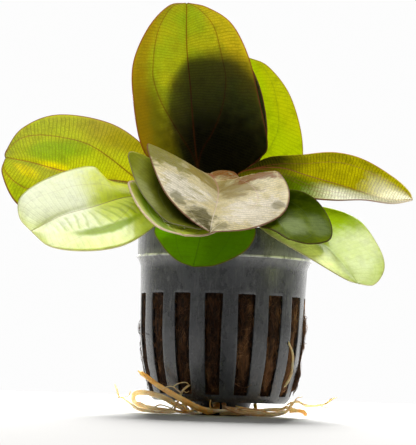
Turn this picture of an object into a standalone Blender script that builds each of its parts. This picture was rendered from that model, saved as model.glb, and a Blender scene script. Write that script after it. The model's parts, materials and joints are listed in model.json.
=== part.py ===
"""Echinodorus plant in a net pot: broad-leaved rosette, coir plug, roots under the base.

Blender 4.5 script. Metres, +Z up, the pot's axis on Z and the middle of its foot at the origin.
The pot's front, over which the lowest leaf hangs, faces -Y.
"""

from math import cos, pi, radians, sin

import bmesh
import bpy
from mathutils import Vector

MM = 0.001
GAP = 0.3

# Pot, in mm. The rim's outer diameter is the size that everything else was scaled from.
POT_HEIGHT = 54.5
RIM_RADIUS = 26.1
COLLAR_STEP_Z = 46.6
SHOULDER_RADIUS = 24.9
BASE_Z = 3.0
FOOT_RADIUS = 8.0
WALL = 0.9
POT_SIDES = 48
BODY_OUTLINE = [(24.6, 36.0), (24.3, 23.0), (23.3, 15.0), (21.6, 8.5), (20.8, 5.0), (19.5, BASE_Z)]

SLOTS = 16
SLOT_TURN = radians(-6.5)
SLOT_BOTTOM_Z = 6.0
SLOT_TOP_Z = 35.2
SLOT_WIDTH_BOTTOM = 4.0
SLOT_WIDTH_TOP = 5.2

BASE_SLOTS = 8
BASE_SLOT_WIDTH = 4.8
BASE_SLOT_FROM = 10.8
BASE_SLOT_TO = 18.0

# Coir plug and the short rootstock that the leaf stalks grow from, in mm.
PLUG_SIDES = 32
PLUG_TOP_Z = 52.5
CROWN_X = -4.0
CROWN_RADIUS = 4.6
CROWN_TOP_Z = 59.8

# Leaves, in mm. A leaf's left and right margins are named as seen from its upper face, tip up.
# The stalk leaves the crown at the given azimuth (0 is the front, 90 the right) and height.
STALK_RADIUS = 1.2
BLADE_THICKNESS = 0.45
MIDRIB_THICKNESS = 1.1
BLADE_STATIONS = 11
STALK_STATIONS = 4
HALF_BLADE_STEPS = 2
STALK_EDGE = radians(80)
STALK_BLEND = 0.12

LEAVES = {
    "leaf_back_tall": dict(
        azimuth=212, height=59.5, arch=0.05,
        midrib=[(-7.5, 4.5, 68), (-9, 5, 75), (-10.5, 7, 85.5), (-12, 9.5, 99.5), (-13.5, 11, 112),
                (-14, 13, 125.5)],
        left=[(-20.7, 3, 74), (-26.1, 2, 80), (-29.1, 4, 94), (-29.5, 6, 105.5), (-25.5, 8.5, 116.5),
              (-19.5, 11, 124)],
        right=[(2.5, 4.5, 72), (10, 4, 77.5), (12, 3.5, 82), (9, 4.5, 95.5), (5.5, 7, 108.5),
               (0, 9.5, 119), (-7.5, 11.5, 124)]),
    "leaf_back_shaded": dict(
        azimuth=180, height=58.0, arch=0.05,
        midrib=[(-3.5, 8, 66), (-3, 10.5, 77), (-2.5, 14, 90), (-2.5, 17, 102.5), (-2.5, 20, 113.5)],
        left=[(-8, 8.5, 69), (-13.5, 9.5, 77), (-18.5, 11, 90.5), (-18.5, 15, 101.5),
              (-12.5, 18, 110.5)],
        right=[(2.5, 9, 69.5), (10, 10.5, 77.5), (12, 10.5, 86), (9.5, 14.5, 100), (4, 18, 110.5)]),
    "leaf_back_right": dict(
        azimuth=148, height=55.8, arch=0.05,
        midrib=[(3.5, 12, 68), (6.5, 16, 78), (8, 19.5, 89), (7.5, 22.5, 101), (5.5, 25, 111)],
        left=[(0.5, 13, 69.5), (-2.5, 15.5, 77.5), (-4, 18.5, 90), (-1.5, 22, 103), (2, 24.5, 110)],
        right=[(11, 12.5, 69), (21.5, 14.5, 73.5), (23, 16, 84), (19, 19.5, 98.5), (12, 23, 108)]),
    "leaf_left_upper": dict(
        azimuth=246, height=58.0, arch=0.06,
        midrib=[(-16.5, 3, 65), (-29, 3.5, 68.5), (-39.5, 3, 69.5), (-50, 2, 71.5), (-59, 0.5, 73.5),
                (-66.5, -1, 74.5)],
        left=[(-18, 1, 62), (-28.5, -3.5, 61), (-40, -8, 56.5), (-52, -8.5, 55.5), (-62, -7, 60.5),
              (-67, -3.5, 69.5)],
        right=[(-17.5, 5, 71), (-27.5, 10.5, 82.5), (-38, 12.5, 88), (-52.5, 12.5, 89.5),
               (-62.5, 8, 84.5), (-66.5, 1.5, 77)]),
    "leaf_left_lower": dict(
        azimuth=268, height=55.5, arch=0.06,
        midrib=[(-17, -2.5, 63), (-28, -8, 63.5), (-39.5, -13, 59.5), (-48, -15.5, 56.5),
                (-56.5, -18, 51.5)],
        left=[(-18, -9.5, 59.5), (-21.5, -18.5, 53.5), (-29.5, -24, 48), (-41, -26, 46),
              (-50.5, -24.5, 47)],
        right=[(-21, -1, 66), (-35, -3.5, 68.5), (-40.5, -2.5, 72.5), (-52, -5, 69),
               (-60.5, -9.5, 62.5), (-60.5, -14.5, 56)]),
    "leaf_front_left_inner": dict(
        azimuth=322, height=59.5, arch=0.04,
        midrib=[(-9, -5, 67), (-12, -14.5, 65), (-12.5, -23, 60.5), (-10.5, -31.5, 56),
                (-6.5, -38.5, 52.5)],
        left=[(-4.5, -8, 67), (1.5, -13, 66), (6, -21, 62.5), (5.5, -30, 57.5), (0, -36, 53.5)],
        right=[(-15, -4, 71.5), (-23.5, -6.5, 75.5), (-29, -10, 76.5), (-28.5, -14.5, 72),
               (-25, -22, 64), (-18, -31, 55.5), (-12.5, -36, 53.5)]),
    "leaf_front_left_outer": dict(
        azimuth=300, height=56.2, arch=0.04,
        midrib=[(-12.5, -7, 62), (-16.5, -15.5, 61), (-18, -24.5, 57), (-16, -32, 53.5),
                (-12, -38.5, 50.5)],
        left=[(-7.5, -9.5, 62.5), (-1, -15.5, 61), (2.5, -23, 59.2), (1.5, -30.5, 55), (-5, -36.5, 51)],
        right=[(-16.5, -8, 65), (-23.5, -10.5, 67.5), (-28.5, -14, 67.5), (-28.5, -18, 65),
               (-25, -25, 58.5), (-19.5, -32, 53)]),
    "leaf_front_curled": dict(
        azimuth=0, height=60.5, arch=0.05,
        midrib=[(-4.5, -1.5, 69.5), (-5, -5, 71), (-3.5, -11, 68.5), (-2.5, -19, 65), (-3, -28, 60),
                (-4, -36, 55.5), (-4.5, -41, 51.5)],
        left=[(-1.5, -1, 73), (2, -2.5, 72.4), (5.5, -5, 69), (10, -9.5, 70), (14.5, -13.5, 72),
              (18, -22, 65.5), (16, -31, 58), (6.5, -38.5, 53)],
        right=[(-9, -0.5, 70.5), (-17, -3, 75.5), (-23.5, -12, 79), (-22.5, -19, 73.5),
               (-18, -28.5, 63.5), (-10.5, -37, 55.5)]),
    "leaf_front_low": dict(
        azimuth=346, height=55.3, arch=0.05,
        midrib=[(-5, -9, 57), (-5.5, -17.5, 58.5), (-6, -25, 56.8), (-7.5, -30, 49.5), (-9, -32, 42)],
        left=[(-1, -10.5, 57), (4, -19, 57.5), (8.5, -28, 53.5), (6, -30.5, 47.5), (-2, -32, 43)],
        right=[(-9.5, -10.5, 57), (-16, -19, 57.5), (-20.5, -26.5, 53), (-18.5, -29.5, 48.5),
               (-14, -31.5, 44)]),
    "leaf_right_folded": dict(
        azimuth=85, height=58.5, arch=0.05,
        midrib=[(2, 1, 69.5), (5, 0.2, 72.5), (10, 0, 74), (17, -1, 74), (24, -1.5, 72), (35, -3, 69),
                (47.5, -4, 65.5), (55.5, -4.5, 65.5)],
        left=[(6, 2, 74), (12.5, 8, 78), (22, 11.5, 79.5), (33, 11.5, 80.5), (42, 9, 78.5), (50, 4, 73),
              (54.5, -1, 68.5)],
        right=[(5.5, -3, 69), (13.5, -9, 66), (21.5, -12, 64.5), (32, -12.5, 64), (40.5, -11.5, 64.5),
               (49, -8.5, 64)]),
    "leaf_right_front": dict(
        azimuth=25, height=57.5, arch=0.05,
        midrib=[(6, -9.5, 63), (10.5, -18, 62), (13.5, -26, 58.5), (16, -33, 54.5), (17.5, -38, 50.5)],
        left=[(10, -8, 64.5), (18.5, -15, 66.5), (25.5, -18.5, 64), (30, -22.5, 57.5),
              (30, -28.5, 51.5), (24, -34, 49.5)],
        right=[(4.5, -13, 61.5), (6.5, -22, 58), (9.5, -30, 54.5), (13, -35, 53)]),
    "leaf_right_low": dict(
        azimuth=52, height=55.3, arch=0.05,
        midrib=[(10.5, -10, 59.5), (19, -19, 57), (29, -25, 49.5), (34.5, -28, 43.5), (38, -30, 39)],
        left=[(16, -6, 62), (28, -7, 62.5), (38.5, -11, 59), (44.5, -18, 50.5), (46, -24.5, 44),
              (43, -28.5, 39)],
        right=[(7, -15, 58.5), (7.5, -22, 57), (11, -27, 53.5), (18, -29.5, 49), (27, -31.5, 44),
               (34.5, -31.5, 40)]),
}

# Roots, in mm: the route of the middle line, and the radius where it starts and where it ends.
ROOTS = {
    "root_thick_left": dict(radii=(1.05, 0.65), colour="root_orange", route=[
        (-1, -13.4, 3.4), (-1.2, -15, 1.8), (-3.4, -20, 1.3), (-6, -22, 2), (-8.9, -22.5, 3.3),
        (-12.2, -22, 5), (-15.4, -20.5, 6.7), (-18.7, -18.5, 8.6), (-21.4, -16.5, 10.5),
        (-24.1, -15, 12.2)]),
    "root_pale_loop": dict(radii=(0.8, 0.55), colour="root_pale", route=[
        (-10.2, -10.4, 3.6), (-10.4, -12, 1.4), (-9.6, -15, 1.1), (-9.8, -18, 1.5), (-13, -18.4, 3),
        (-16, -17, 4.5), (-18.9, -15, 5.4), (-21.9, -13, 6), (-24.3, -12, 5.8), (-25.3, -12, 4.6),
        (-24.7, -13, 3.1), (-22.3, -15, 1.9), (-18.5, -17, 1.1), (-14.8, -18.6, 0.7)]),
    "root_thin_left": dict(radii=(0.4, 0.25), colour="root_pale", route=[
        (-16.4, -19.4, 0.6), (-20.2, -18.5, 0.8), (-23.1, -17, 1.1), (-25.9, -15, 2.6), (-28, -13, 4),
        (-29.5, -12.5, 4.7), (-30.1, -12, 6.4), (-30.9, -12, 8.2)]),
    "root_lateral_up": dict(radii=(0.4, 0.3), colour="root_pale", route=[
        (-13.2, -20.6, 0.7), (-12.9, -20.3, 2), (-12.2, -19.9, 3.6), (-11.6, -19.5, 5.2),
        (-10.8, -19.6, 7), (-9.5, -20.2, 8.2), (-8.8, -20.8, 8.6)]),
    "root_pale_right": dict(radii=(0.65, 0.3), colour="root_pale", route=[
        (1.3, -12.6, 3.5), (1.2, -13.8, 1.4), (0.6, -16.2, 0.8), (1.2, -19.2, 0.8), (6.7, -21, 1),
        (11, -21.5, 0.7), (15.3, -21.5, 0.8), (18.9, -20.3, 1.7), (20.4, -18.9, 3.5),
        (21.6, -17.7, 4.7), (23.3, -16.2, 4.6), (25.3, -15, 3.6), (28.9, -14, 3.9), (31.2, -14, 4.7),
        (32.4, -14, 5.8), (34, -14, 6.4)]),
    "root_brown_front": dict(radii=(0.6, 0.5), colour="root_brown", route=[
        (1.1, -16, 3.6), (1.5, -17, 2.35), (2.4, -19.6, 2.3), (4, -22.4, 1.95),
        (6.4, -23.4, 1.1), (9, -24, 0.6)]),
    "root_fork_right": dict(radii=(0.5, 0.55), colour="root_orange", route=[
        (20, -21, 2), (22.2, -21, 2.2), (24, -20.2, 2.1), (25, -19.6, 0.8)]),
    "root_upper_strand": dict(radii=(0.55, 0.35), colour="root_orange", route=[
        (10.3, -10.8, 3.6), (10.4, -12.2, 2.1), (9.3, -15.5, 1.9), (8.6, -18.4, 1.9),
        (10.4, -19.7, 1.9), (13.9, -19.5, 2.1), (17.4, -18.3, 2.1)]),
}
ROOT_SIDES_LEVEL = 1
ROOT_STEP = 2.2

COLOURS = {
    "pot_plastic": ((0.045, 0.045, 0.042, 1), 0.45),
    "coir": ((0.045, 0.020, 0.010, 1), 0.95),
    "crown": ((0.42, 0.45, 0.16, 1), 0.5),
    "leaf": ((0.22, 0.33, 0.03, 1), 0.4),
    "root_orange": ((0.62, 0.33, 0.11, 1), 0.6),
    "root_pale": ((0.76, 0.62, 0.42, 1), 0.6),
    "root_brown": ((0.36, 0.20, 0.10, 1), 0.7),
}


def clear_scene():
    for obj in list(bpy.data.objects):
        bpy.data.objects.remove(obj, do_unlink=True)


def make_collection(name, hidden=False):
    collection = bpy.data.collections.new(name)
    bpy.context.scene.collection.children.link(collection)
    collection.hide_render = hidden
    return collection


def make_material(name):
    colour, roughness = COLOURS[name]
    material = bpy.data.materials.new(name)
    material.use_nodes = True
    shader = material.node_tree.nodes["Principled BSDF"]
    shader.inputs["Base Color"].default_value = colour
    shader.inputs["Roughness"].default_value = roughness
    return material


def add_mesh(name, points, faces, collection):
    """An object from points in mm and faces, with its normals outwards."""
    mesh = bpy.data.meshes.new(name)
    mesh.from_pydata([Vector(point) * MM for point in points], [], faces)
    shape = bmesh.new()
    shape.from_mesh(mesh)
    bmesh.ops.recalc_face_normals(shape, faces=shape.faces)
    shape.to_mesh(mesh)
    shape.free()
    obj = bpy.data.objects.new(name, mesh)
    collection.objects.link(obj)
    return obj


def shade_smooth(obj, material):
    obj.data.materials.append(material)
    for face in obj.data.polygons:
        face.use_smooth = True


def turned(name, outline, sides, collection):
    """A closed turned shape: outline is (radius, height) in mm, from the top down its outer side."""
    mesh = bpy.data.meshes.new(name)
    points = [Vector((radius, 0, height)) * MM for radius, height in outline]
    last = len(points) - 1
    edges = [(i, i + 1) for i in range(last)]
    if outline[0][0] > 0 or outline[-1][0] > 0:
        edges.append((last, 0))
    mesh.from_pydata(points, edges, [])
    obj = bpy.data.objects.new(name, mesh)
    collection.objects.link(obj)
    screw = obj.modifiers.new("turn", "SCREW")
    screw.steps = sides
    screw.render_steps = sides
    screw.use_merge_vertices = True
    screw.merge_threshold = 0.00001
    screw.use_smooth_shade = True
    return obj


def cut(obj, cutter, operation="DIFFERENCE"):
    boolean = obj.modifiers.new(operation.lower(), "BOOLEAN")
    boolean.operation = operation
    boolean.solver = "EXACT"
    boolean.object = cutter
    cutter.hide_render = True
    cutter.display_type = "WIRE"


def wall_radius(z):
    """The pot's outer radius in mm at a height on its slotted wall."""
    outline = BODY_OUTLINE
    for (high_r, high_z), (low_r, low_z) in zip(outline, outline[1:]):
        if z >= low_z:
            share = (z - low_z) / (high_z - low_z)
            return low_r + (high_r - low_r) * min(share, 1.0)
    return outline[-1][0]


def slot_width(z):
    share = (z - SLOT_BOTTOM_Z) / (SLOT_TOP_Z - SLOT_BOTTOM_Z)
    return SLOT_WIDTH_BOTTOM + (SLOT_WIDTH_TOP - SLOT_WIDTH_BOTTOM) * share


def around(angle, radius, side, z):
    """A point in mm at a distance out from the axis and to the side of that line; angle 0 is -Y."""
    x = radius * sin(angle) + side * cos(angle)
    y = -radius * cos(angle) + side * sin(angle)
    return (x, y, z)


def wedge(angle, levels):
    """A solid standing at an angle round the axis. levels: (z, inner radius, outer radius, width)."""
    points = []
    for z, inner, outer, width in levels:
        points.append(around(angle, inner, -width / 2, z))
        points.append(around(angle, outer, -width / 2, z))
        points.append(around(angle, outer, width / 2, z))
        points.append(around(angle, inner, width / 2, z))
    faces = [(0, 1, 2, 3)]
    for level in range(len(levels) - 1):
        low = 4 * level
        for side in range(4):
            turn = (side + 1) % 4
            faces.append((low + side, low + turn, low + 4 + turn, low + 4 + side))
    top = len(points) - 4
    faces.append((top + 3, top + 2, top + 1, top))
    return points, faces


def joined(parts):
    points = []
    faces = []
    for part_points, part_faces in parts:
        start = len(points)
        points += part_points
        faces += [tuple(start + i for i in face) for face in part_faces]
    return points, faces


def slot_angles():
    return [SLOT_TURN + 2 * pi * i / SLOTS for i in range(SLOTS)]


def build_pot(collection, helpers):
    inner_wall = [(radius - WALL, z + 0.2) for radius, z in reversed(BODY_OUTLINE[:-1])]
    outline = [
        (RIM_RADIUS - 0.5, POT_HEIGHT),
        (RIM_RADIUS, POT_HEIGHT - 0.5),
        (RIM_RADIUS, COLLAR_STEP_Z),
        (SHOULDER_RADIUS, COLLAR_STEP_Z),
        *BODY_OUTLINE,
        (FOOT_RADIUS + 1.5, BASE_Z),
        (FOOT_RADIUS, 0),
        (0, 0),
        (0, 1.2),
        (FOOT_RADIUS - 0.6, 1.2),
        (FOOT_RADIUS + 0.9, BASE_Z + 1),
        (BODY_OUTLINE[-1][0] - 0.4, BASE_Z + 1),
        *inner_wall,
        (SHOULDER_RADIUS - WALL, COLLAR_STEP_Z - 0.3),
        (RIM_RADIUS - WALL, COLLAR_STEP_Z + 0.9),
        (RIM_RADIUS - WALL, POT_HEIGHT),
    ]
    pot = turned("pot", outline, POT_SIDES, collection)
    pot.data.materials.append(make_material("pot_plastic"))

    wedges = []
    for angle in slot_angles():
        levels = [
            (SLOT_BOTTOM_Z, 17.0, 30.0, SLOT_WIDTH_BOTTOM),
            (SLOT_TOP_Z, 17.0, 30.0, SLOT_WIDTH_TOP),
        ]
        wedges.append(wedge(angle, levels))
    for i in range(BASE_SLOTS):
        levels = [
            (z, BASE_SLOT_FROM, BASE_SLOT_TO, BASE_SLOT_WIDTH) for z in (BASE_Z - 1, BASE_Z + 1.8)
        ]
        wedges.append(wedge(2 * pi * i / BASE_SLOTS, levels))
    cut(pot, add_mesh("slot_cutter", *joined(wedges), helpers))


def build_plug(collection, helpers):
    """The coir plug: it follows the pot's inside, and swells into the slots to just inside the ribs' face."""
    inset = WALL + GAP
    side = [(radius - inset, z + 0.3) for radius, z in BODY_OUTLINE[:-1]]
    outline = [
        (0, PLUG_TOP_Z),
        (8, PLUG_TOP_Z - 0.3),
        (17, PLUG_TOP_Z - 1.2),
        (RIM_RADIUS - inset - 0.2, PLUG_TOP_Z - 2.6),
        (RIM_RADIUS - inset - 0.1, COLLAR_STEP_Z + 1.1),
        (SHOULDER_RADIUS - inset - 0.1, COLLAR_STEP_Z - 0.3),
        *side,
        (BODY_OUTLINE[-1][0] - 0.8, BASE_Z + 1.4),
        (FOOT_RADIUS + 0.7, BASE_Z + 1.4),
        (FOOT_RADIUS - 0.8, 1.6),
        (0, 1.6),
    ]
    plug = turned("growing_medium", outline, PLUG_SIDES, collection)
    plug.data.materials.append(make_material("coir"))

    swellings = []
    for angle in slot_angles():
        levels = []
        for z in (SLOT_BOTTOM_Z + 0.5, 8.5, 15.0, 23.0, SLOT_TOP_Z - 0.5):
            levels.append((z, wall_radius(z) - 3.2, wall_radius(z) - 0.15, slot_width(z) - 0.8))
        swellings.append(wedge(angle, levels))
    cut(plug, add_mesh("plug_swellings", *joined(swellings), helpers), "UNION")


def build_crown(collection):
    outline = [
        (0, CROWN_TOP_Z),
        (CROWN_RADIUS * 0.55, CROWN_TOP_Z - 0.6),
        (CROWN_RADIUS * 0.85, CROWN_TOP_Z - 2.5),
        (CROWN_RADIUS, CROWN_TOP_Z - 5),
        (CROWN_RADIUS, PLUG_TOP_Z + GAP),
        (0, PLUG_TOP_Z + GAP),
    ]
    crown = turned("crown", outline, 16, collection)
    crown.location.x = CROWN_X * MM
    crown.data.materials.append(make_material("crown"))


def smooth_point(points, position):
    """The point at a position, counted in points, on the Catmull-Rom curve through the points."""
    last = len(points) - 1
    index = min(int(position), last - 1)
    share = position - index
    before = points[index - 1] if index > 0 else 2 * points[0] - points[1]
    start, end = points[index], points[index + 1]
    after = points[index + 2] if index + 2 <= last else 2 * points[last] - points[last - 1]
    return 0.5 * (
        2 * start
        + (end - before) * share
        + (2 * before - 5 * start + 4 * end - after) * share**2
        + (3 * start - before - 3 * end + after) * share**3
    )


def along(points, shares, dense=24):
    """Points on the smooth curve through the given ones, at shares of its length."""
    points = [Vector(point) for point in points]
    steps = dense * (len(points) - 1)
    line = [smooth_point(points, i / dense) for i in range(steps + 1)]
    reach = [0.0]
    for a, b in zip(line, line[1:]):
        reach.append(reach[-1] + (b - a).length)
    found = []
    index = 0
    for share in shares:
        target = share * reach[-1]
        while index < steps - 1 and reach[index + 1] < target:
            index += 1
        part = (target - reach[index]) / (reach[index + 1] - reach[index])
        found.append(line[index].lerp(line[index + 1], part))
    return found


def stalk_route(leaf):
    """From just off the crown, out and up to where the blade begins."""
    turn = radians(leaf["azimuth"])
    outward = Vector((sin(turn), -cos(turn), 0))
    start = outward * (CROWN_RADIUS + GAP) + Vector((CROWN_X, 0, leaf["height"] - STALK_RADIUS))
    out = start + outward * 1.6
    base = Vector(leaf["midrib"][0])
    second = Vector(leaf["midrib"][1])
    ahead = (second - base).normalized()
    reach = (base - out).length
    near = base - ahead * reach * 0.3
    return [start, out, near, base]


def leaf_rows(leaf, stalk_steps=STALK_STATIONS, blade_steps=BLADE_STATIONS, half=HALF_BLADE_STEPS):
    """The leaf's stations, each a row of (point, normal, half thickness) from its left to its right."""
    across = [i / half - 1 for i in range(2 * half + 1)]
    shares = [1 - (1 - i / blade_steps) ** 1.12 for i in range(blade_steps)] + [0.985]
    base, tip = leaf["midrib"][0], leaf["midrib"][-1]
    middle = along(leaf["midrib"], shares + [1])
    left = along([base, *leaf["left"], tip], shares + [1])
    right = along([base, *leaf["right"], tip], shares + [1])

    rows = []
    side = None
    for i, share in enumerate(shares):
        ahead = (middle[i + 1] - middle[max(i - 1, 0)]).normalized()
        at = max(i, 1)
        width = right[at] - left[at]
        side = (width - width.dot(ahead) * ahead).normalized()
        normal = side.cross(ahead)
        blend = min(1.0, share / STALK_BLEND)
        rows.append([])
        for v in across:
            margin = right[i] if v > 0 else left[i]
            s = abs(v)
            bow = leaf["arch"] * (margin - middle[i]).length * 4 * s * (1 - s)
            flat = (margin - middle[i]) * s + normal * bow
            round_part = side * STALK_RADIUS * sin(STALK_EDGE * v)
            point = middle[i] + flat * blend + round_part * (1 - blend)
            thin = BLADE_THICKNESS + (MIDRIB_THICKNESS - BLADE_THICKNESS) * (1 - s) ** 3 * (1 - share)
            half_thick = thin / 2 * blend + STALK_RADIUS * cos(STALK_EDGE * v) * (1 - blend)
            rows[-1].append((point, normal, half_thick))

    first_side = rows[0][-1][0] - rows[0][0][0]
    route = stalk_route(leaf)
    outward = route[1] - route[0]
    stalk = along(route, [i / stalk_steps for i in range(stalk_steps + 1)])
    stalk_rows = []
    for i in range(stalk_steps):
        ahead = (stalk[i + 1] - stalk[i - 1] if i else outward).normalized()
        side = (first_side - first_side.dot(ahead) * ahead).normalized()
        normal = side.cross(ahead)
        stalk_rows.append([])
        for v in across:
            point = stalk[i] + side * STALK_RADIUS * sin(STALK_EDGE * v)
            stalk_rows[-1].append((point, normal, STALK_RADIUS * cos(STALK_EDGE * v)))
    return stalk_rows + rows


def build_leaf(name, leaf, collection, material):
    rows = leaf_rows(leaf)
    count = len(rows[0])
    points = []
    for row in rows:
        points += [point + normal * thick for point, normal, thick in row]
        points += [point - normal * thick for point, normal, thick in reversed(row)]
    ring = 2 * count
    faces = []
    for i in range(len(rows) - 1):
        for k in range(ring):
            turn = (k + 1) % ring
            faces.append((i * ring + k, i * ring + turn, (i + 1) * ring + turn, (i + 1) * ring + k))
    for start in (0, (len(rows) - 1) * ring):
        for k in range(count - 1):
            faces.append((start + k, start + k + 1, start + ring - 2 - k, start + ring - 1 - k))
    obj = add_mesh(name, points, faces, collection)
    shade_smooth(obj, material)


def build_root(name, root, collection, materials):
    """A root as a tube along its route, thinning towards its tip."""
    route = [Vector(point) for point in root["route"]]
    length = sum((b - a).length for a, b in zip(route, route[1:]))
    count = max(4, round(length / ROOT_STEP))
    shares = [i / count for i in range(count + 1)]
    data = bpy.data.curves.new(name, "CURVE")
    data.dimensions = "3D"
    data.bevel_depth = MM
    data.bevel_resolution = ROOT_SIDES_LEVEL
    data.use_fill_caps = True
    spline = data.splines.new("POLY")
    spline.points.add(count)
    start, end = root["radii"]
    for share, spot, place in zip(shares, spline.points, along(route, shares)):
        spot.co = (*(place * MM), 1)
        spot.radius = start + (end - start) * share
    data.materials.append(materials[root["colour"]])
    obj = bpy.data.objects.new(name, data)
    collection.objects.link(obj)


def main():
    clear_scene()
    parts = make_collection("echinodorus_plant")
    helpers = make_collection("cutters", hidden=True)
    build_pot(parts, helpers)
    build_plug(parts, helpers)
    build_crown(parts)
    leaf_material = make_material("leaf")
    for name, leaf in LEAVES.items():
        build_leaf(name, leaf, parts, leaf_material)
    root_materials = {name: make_material(name) for name in ("root_orange", "root_pale", "root_brown")}
    for name, root in ROOTS.items():
        build_root(name, root, parts, root_materials)


main()
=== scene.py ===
"""Echinodorus plant in its net pot: the looks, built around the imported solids.

Metres, +Z up, the same frame as the solids. Lengths in the tables are in millimetres.
"""

import json
import random
from math import asin, cos, pi, radians, sin
from types import SimpleNamespace

import bmesh
import bpy
from mathutils import Matrix, Vector, noise

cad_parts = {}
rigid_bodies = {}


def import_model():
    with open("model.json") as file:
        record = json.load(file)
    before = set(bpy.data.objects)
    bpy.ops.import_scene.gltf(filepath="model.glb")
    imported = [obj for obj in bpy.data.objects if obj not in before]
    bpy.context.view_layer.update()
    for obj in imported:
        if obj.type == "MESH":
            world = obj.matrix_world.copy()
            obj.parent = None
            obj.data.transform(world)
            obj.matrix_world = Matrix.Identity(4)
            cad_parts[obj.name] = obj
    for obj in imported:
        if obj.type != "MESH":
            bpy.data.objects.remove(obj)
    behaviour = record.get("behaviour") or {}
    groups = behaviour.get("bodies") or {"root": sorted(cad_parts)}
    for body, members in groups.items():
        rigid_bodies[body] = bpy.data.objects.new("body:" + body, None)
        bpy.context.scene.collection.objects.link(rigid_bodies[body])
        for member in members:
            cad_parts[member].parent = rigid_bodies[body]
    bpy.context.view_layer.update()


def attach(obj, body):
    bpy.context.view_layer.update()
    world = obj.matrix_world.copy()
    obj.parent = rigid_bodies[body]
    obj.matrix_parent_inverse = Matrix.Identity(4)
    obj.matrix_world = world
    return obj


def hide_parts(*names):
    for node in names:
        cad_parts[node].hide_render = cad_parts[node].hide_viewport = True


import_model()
MM = 0.001

# Leaves, as in the solids: azimuth and height of the stalk's start, then the rails of the blade.
STALK_RADIUS = 1.2
CROWN_X = -4.0
CROWN_RADIUS = 4.6
CROWN_TOP_Z = 59.8
PLUG_TOP_Z = 52.5
GAP = 0.3
STALK_EDGE = radians(80)
STALK_BLEND = 0.12

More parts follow.
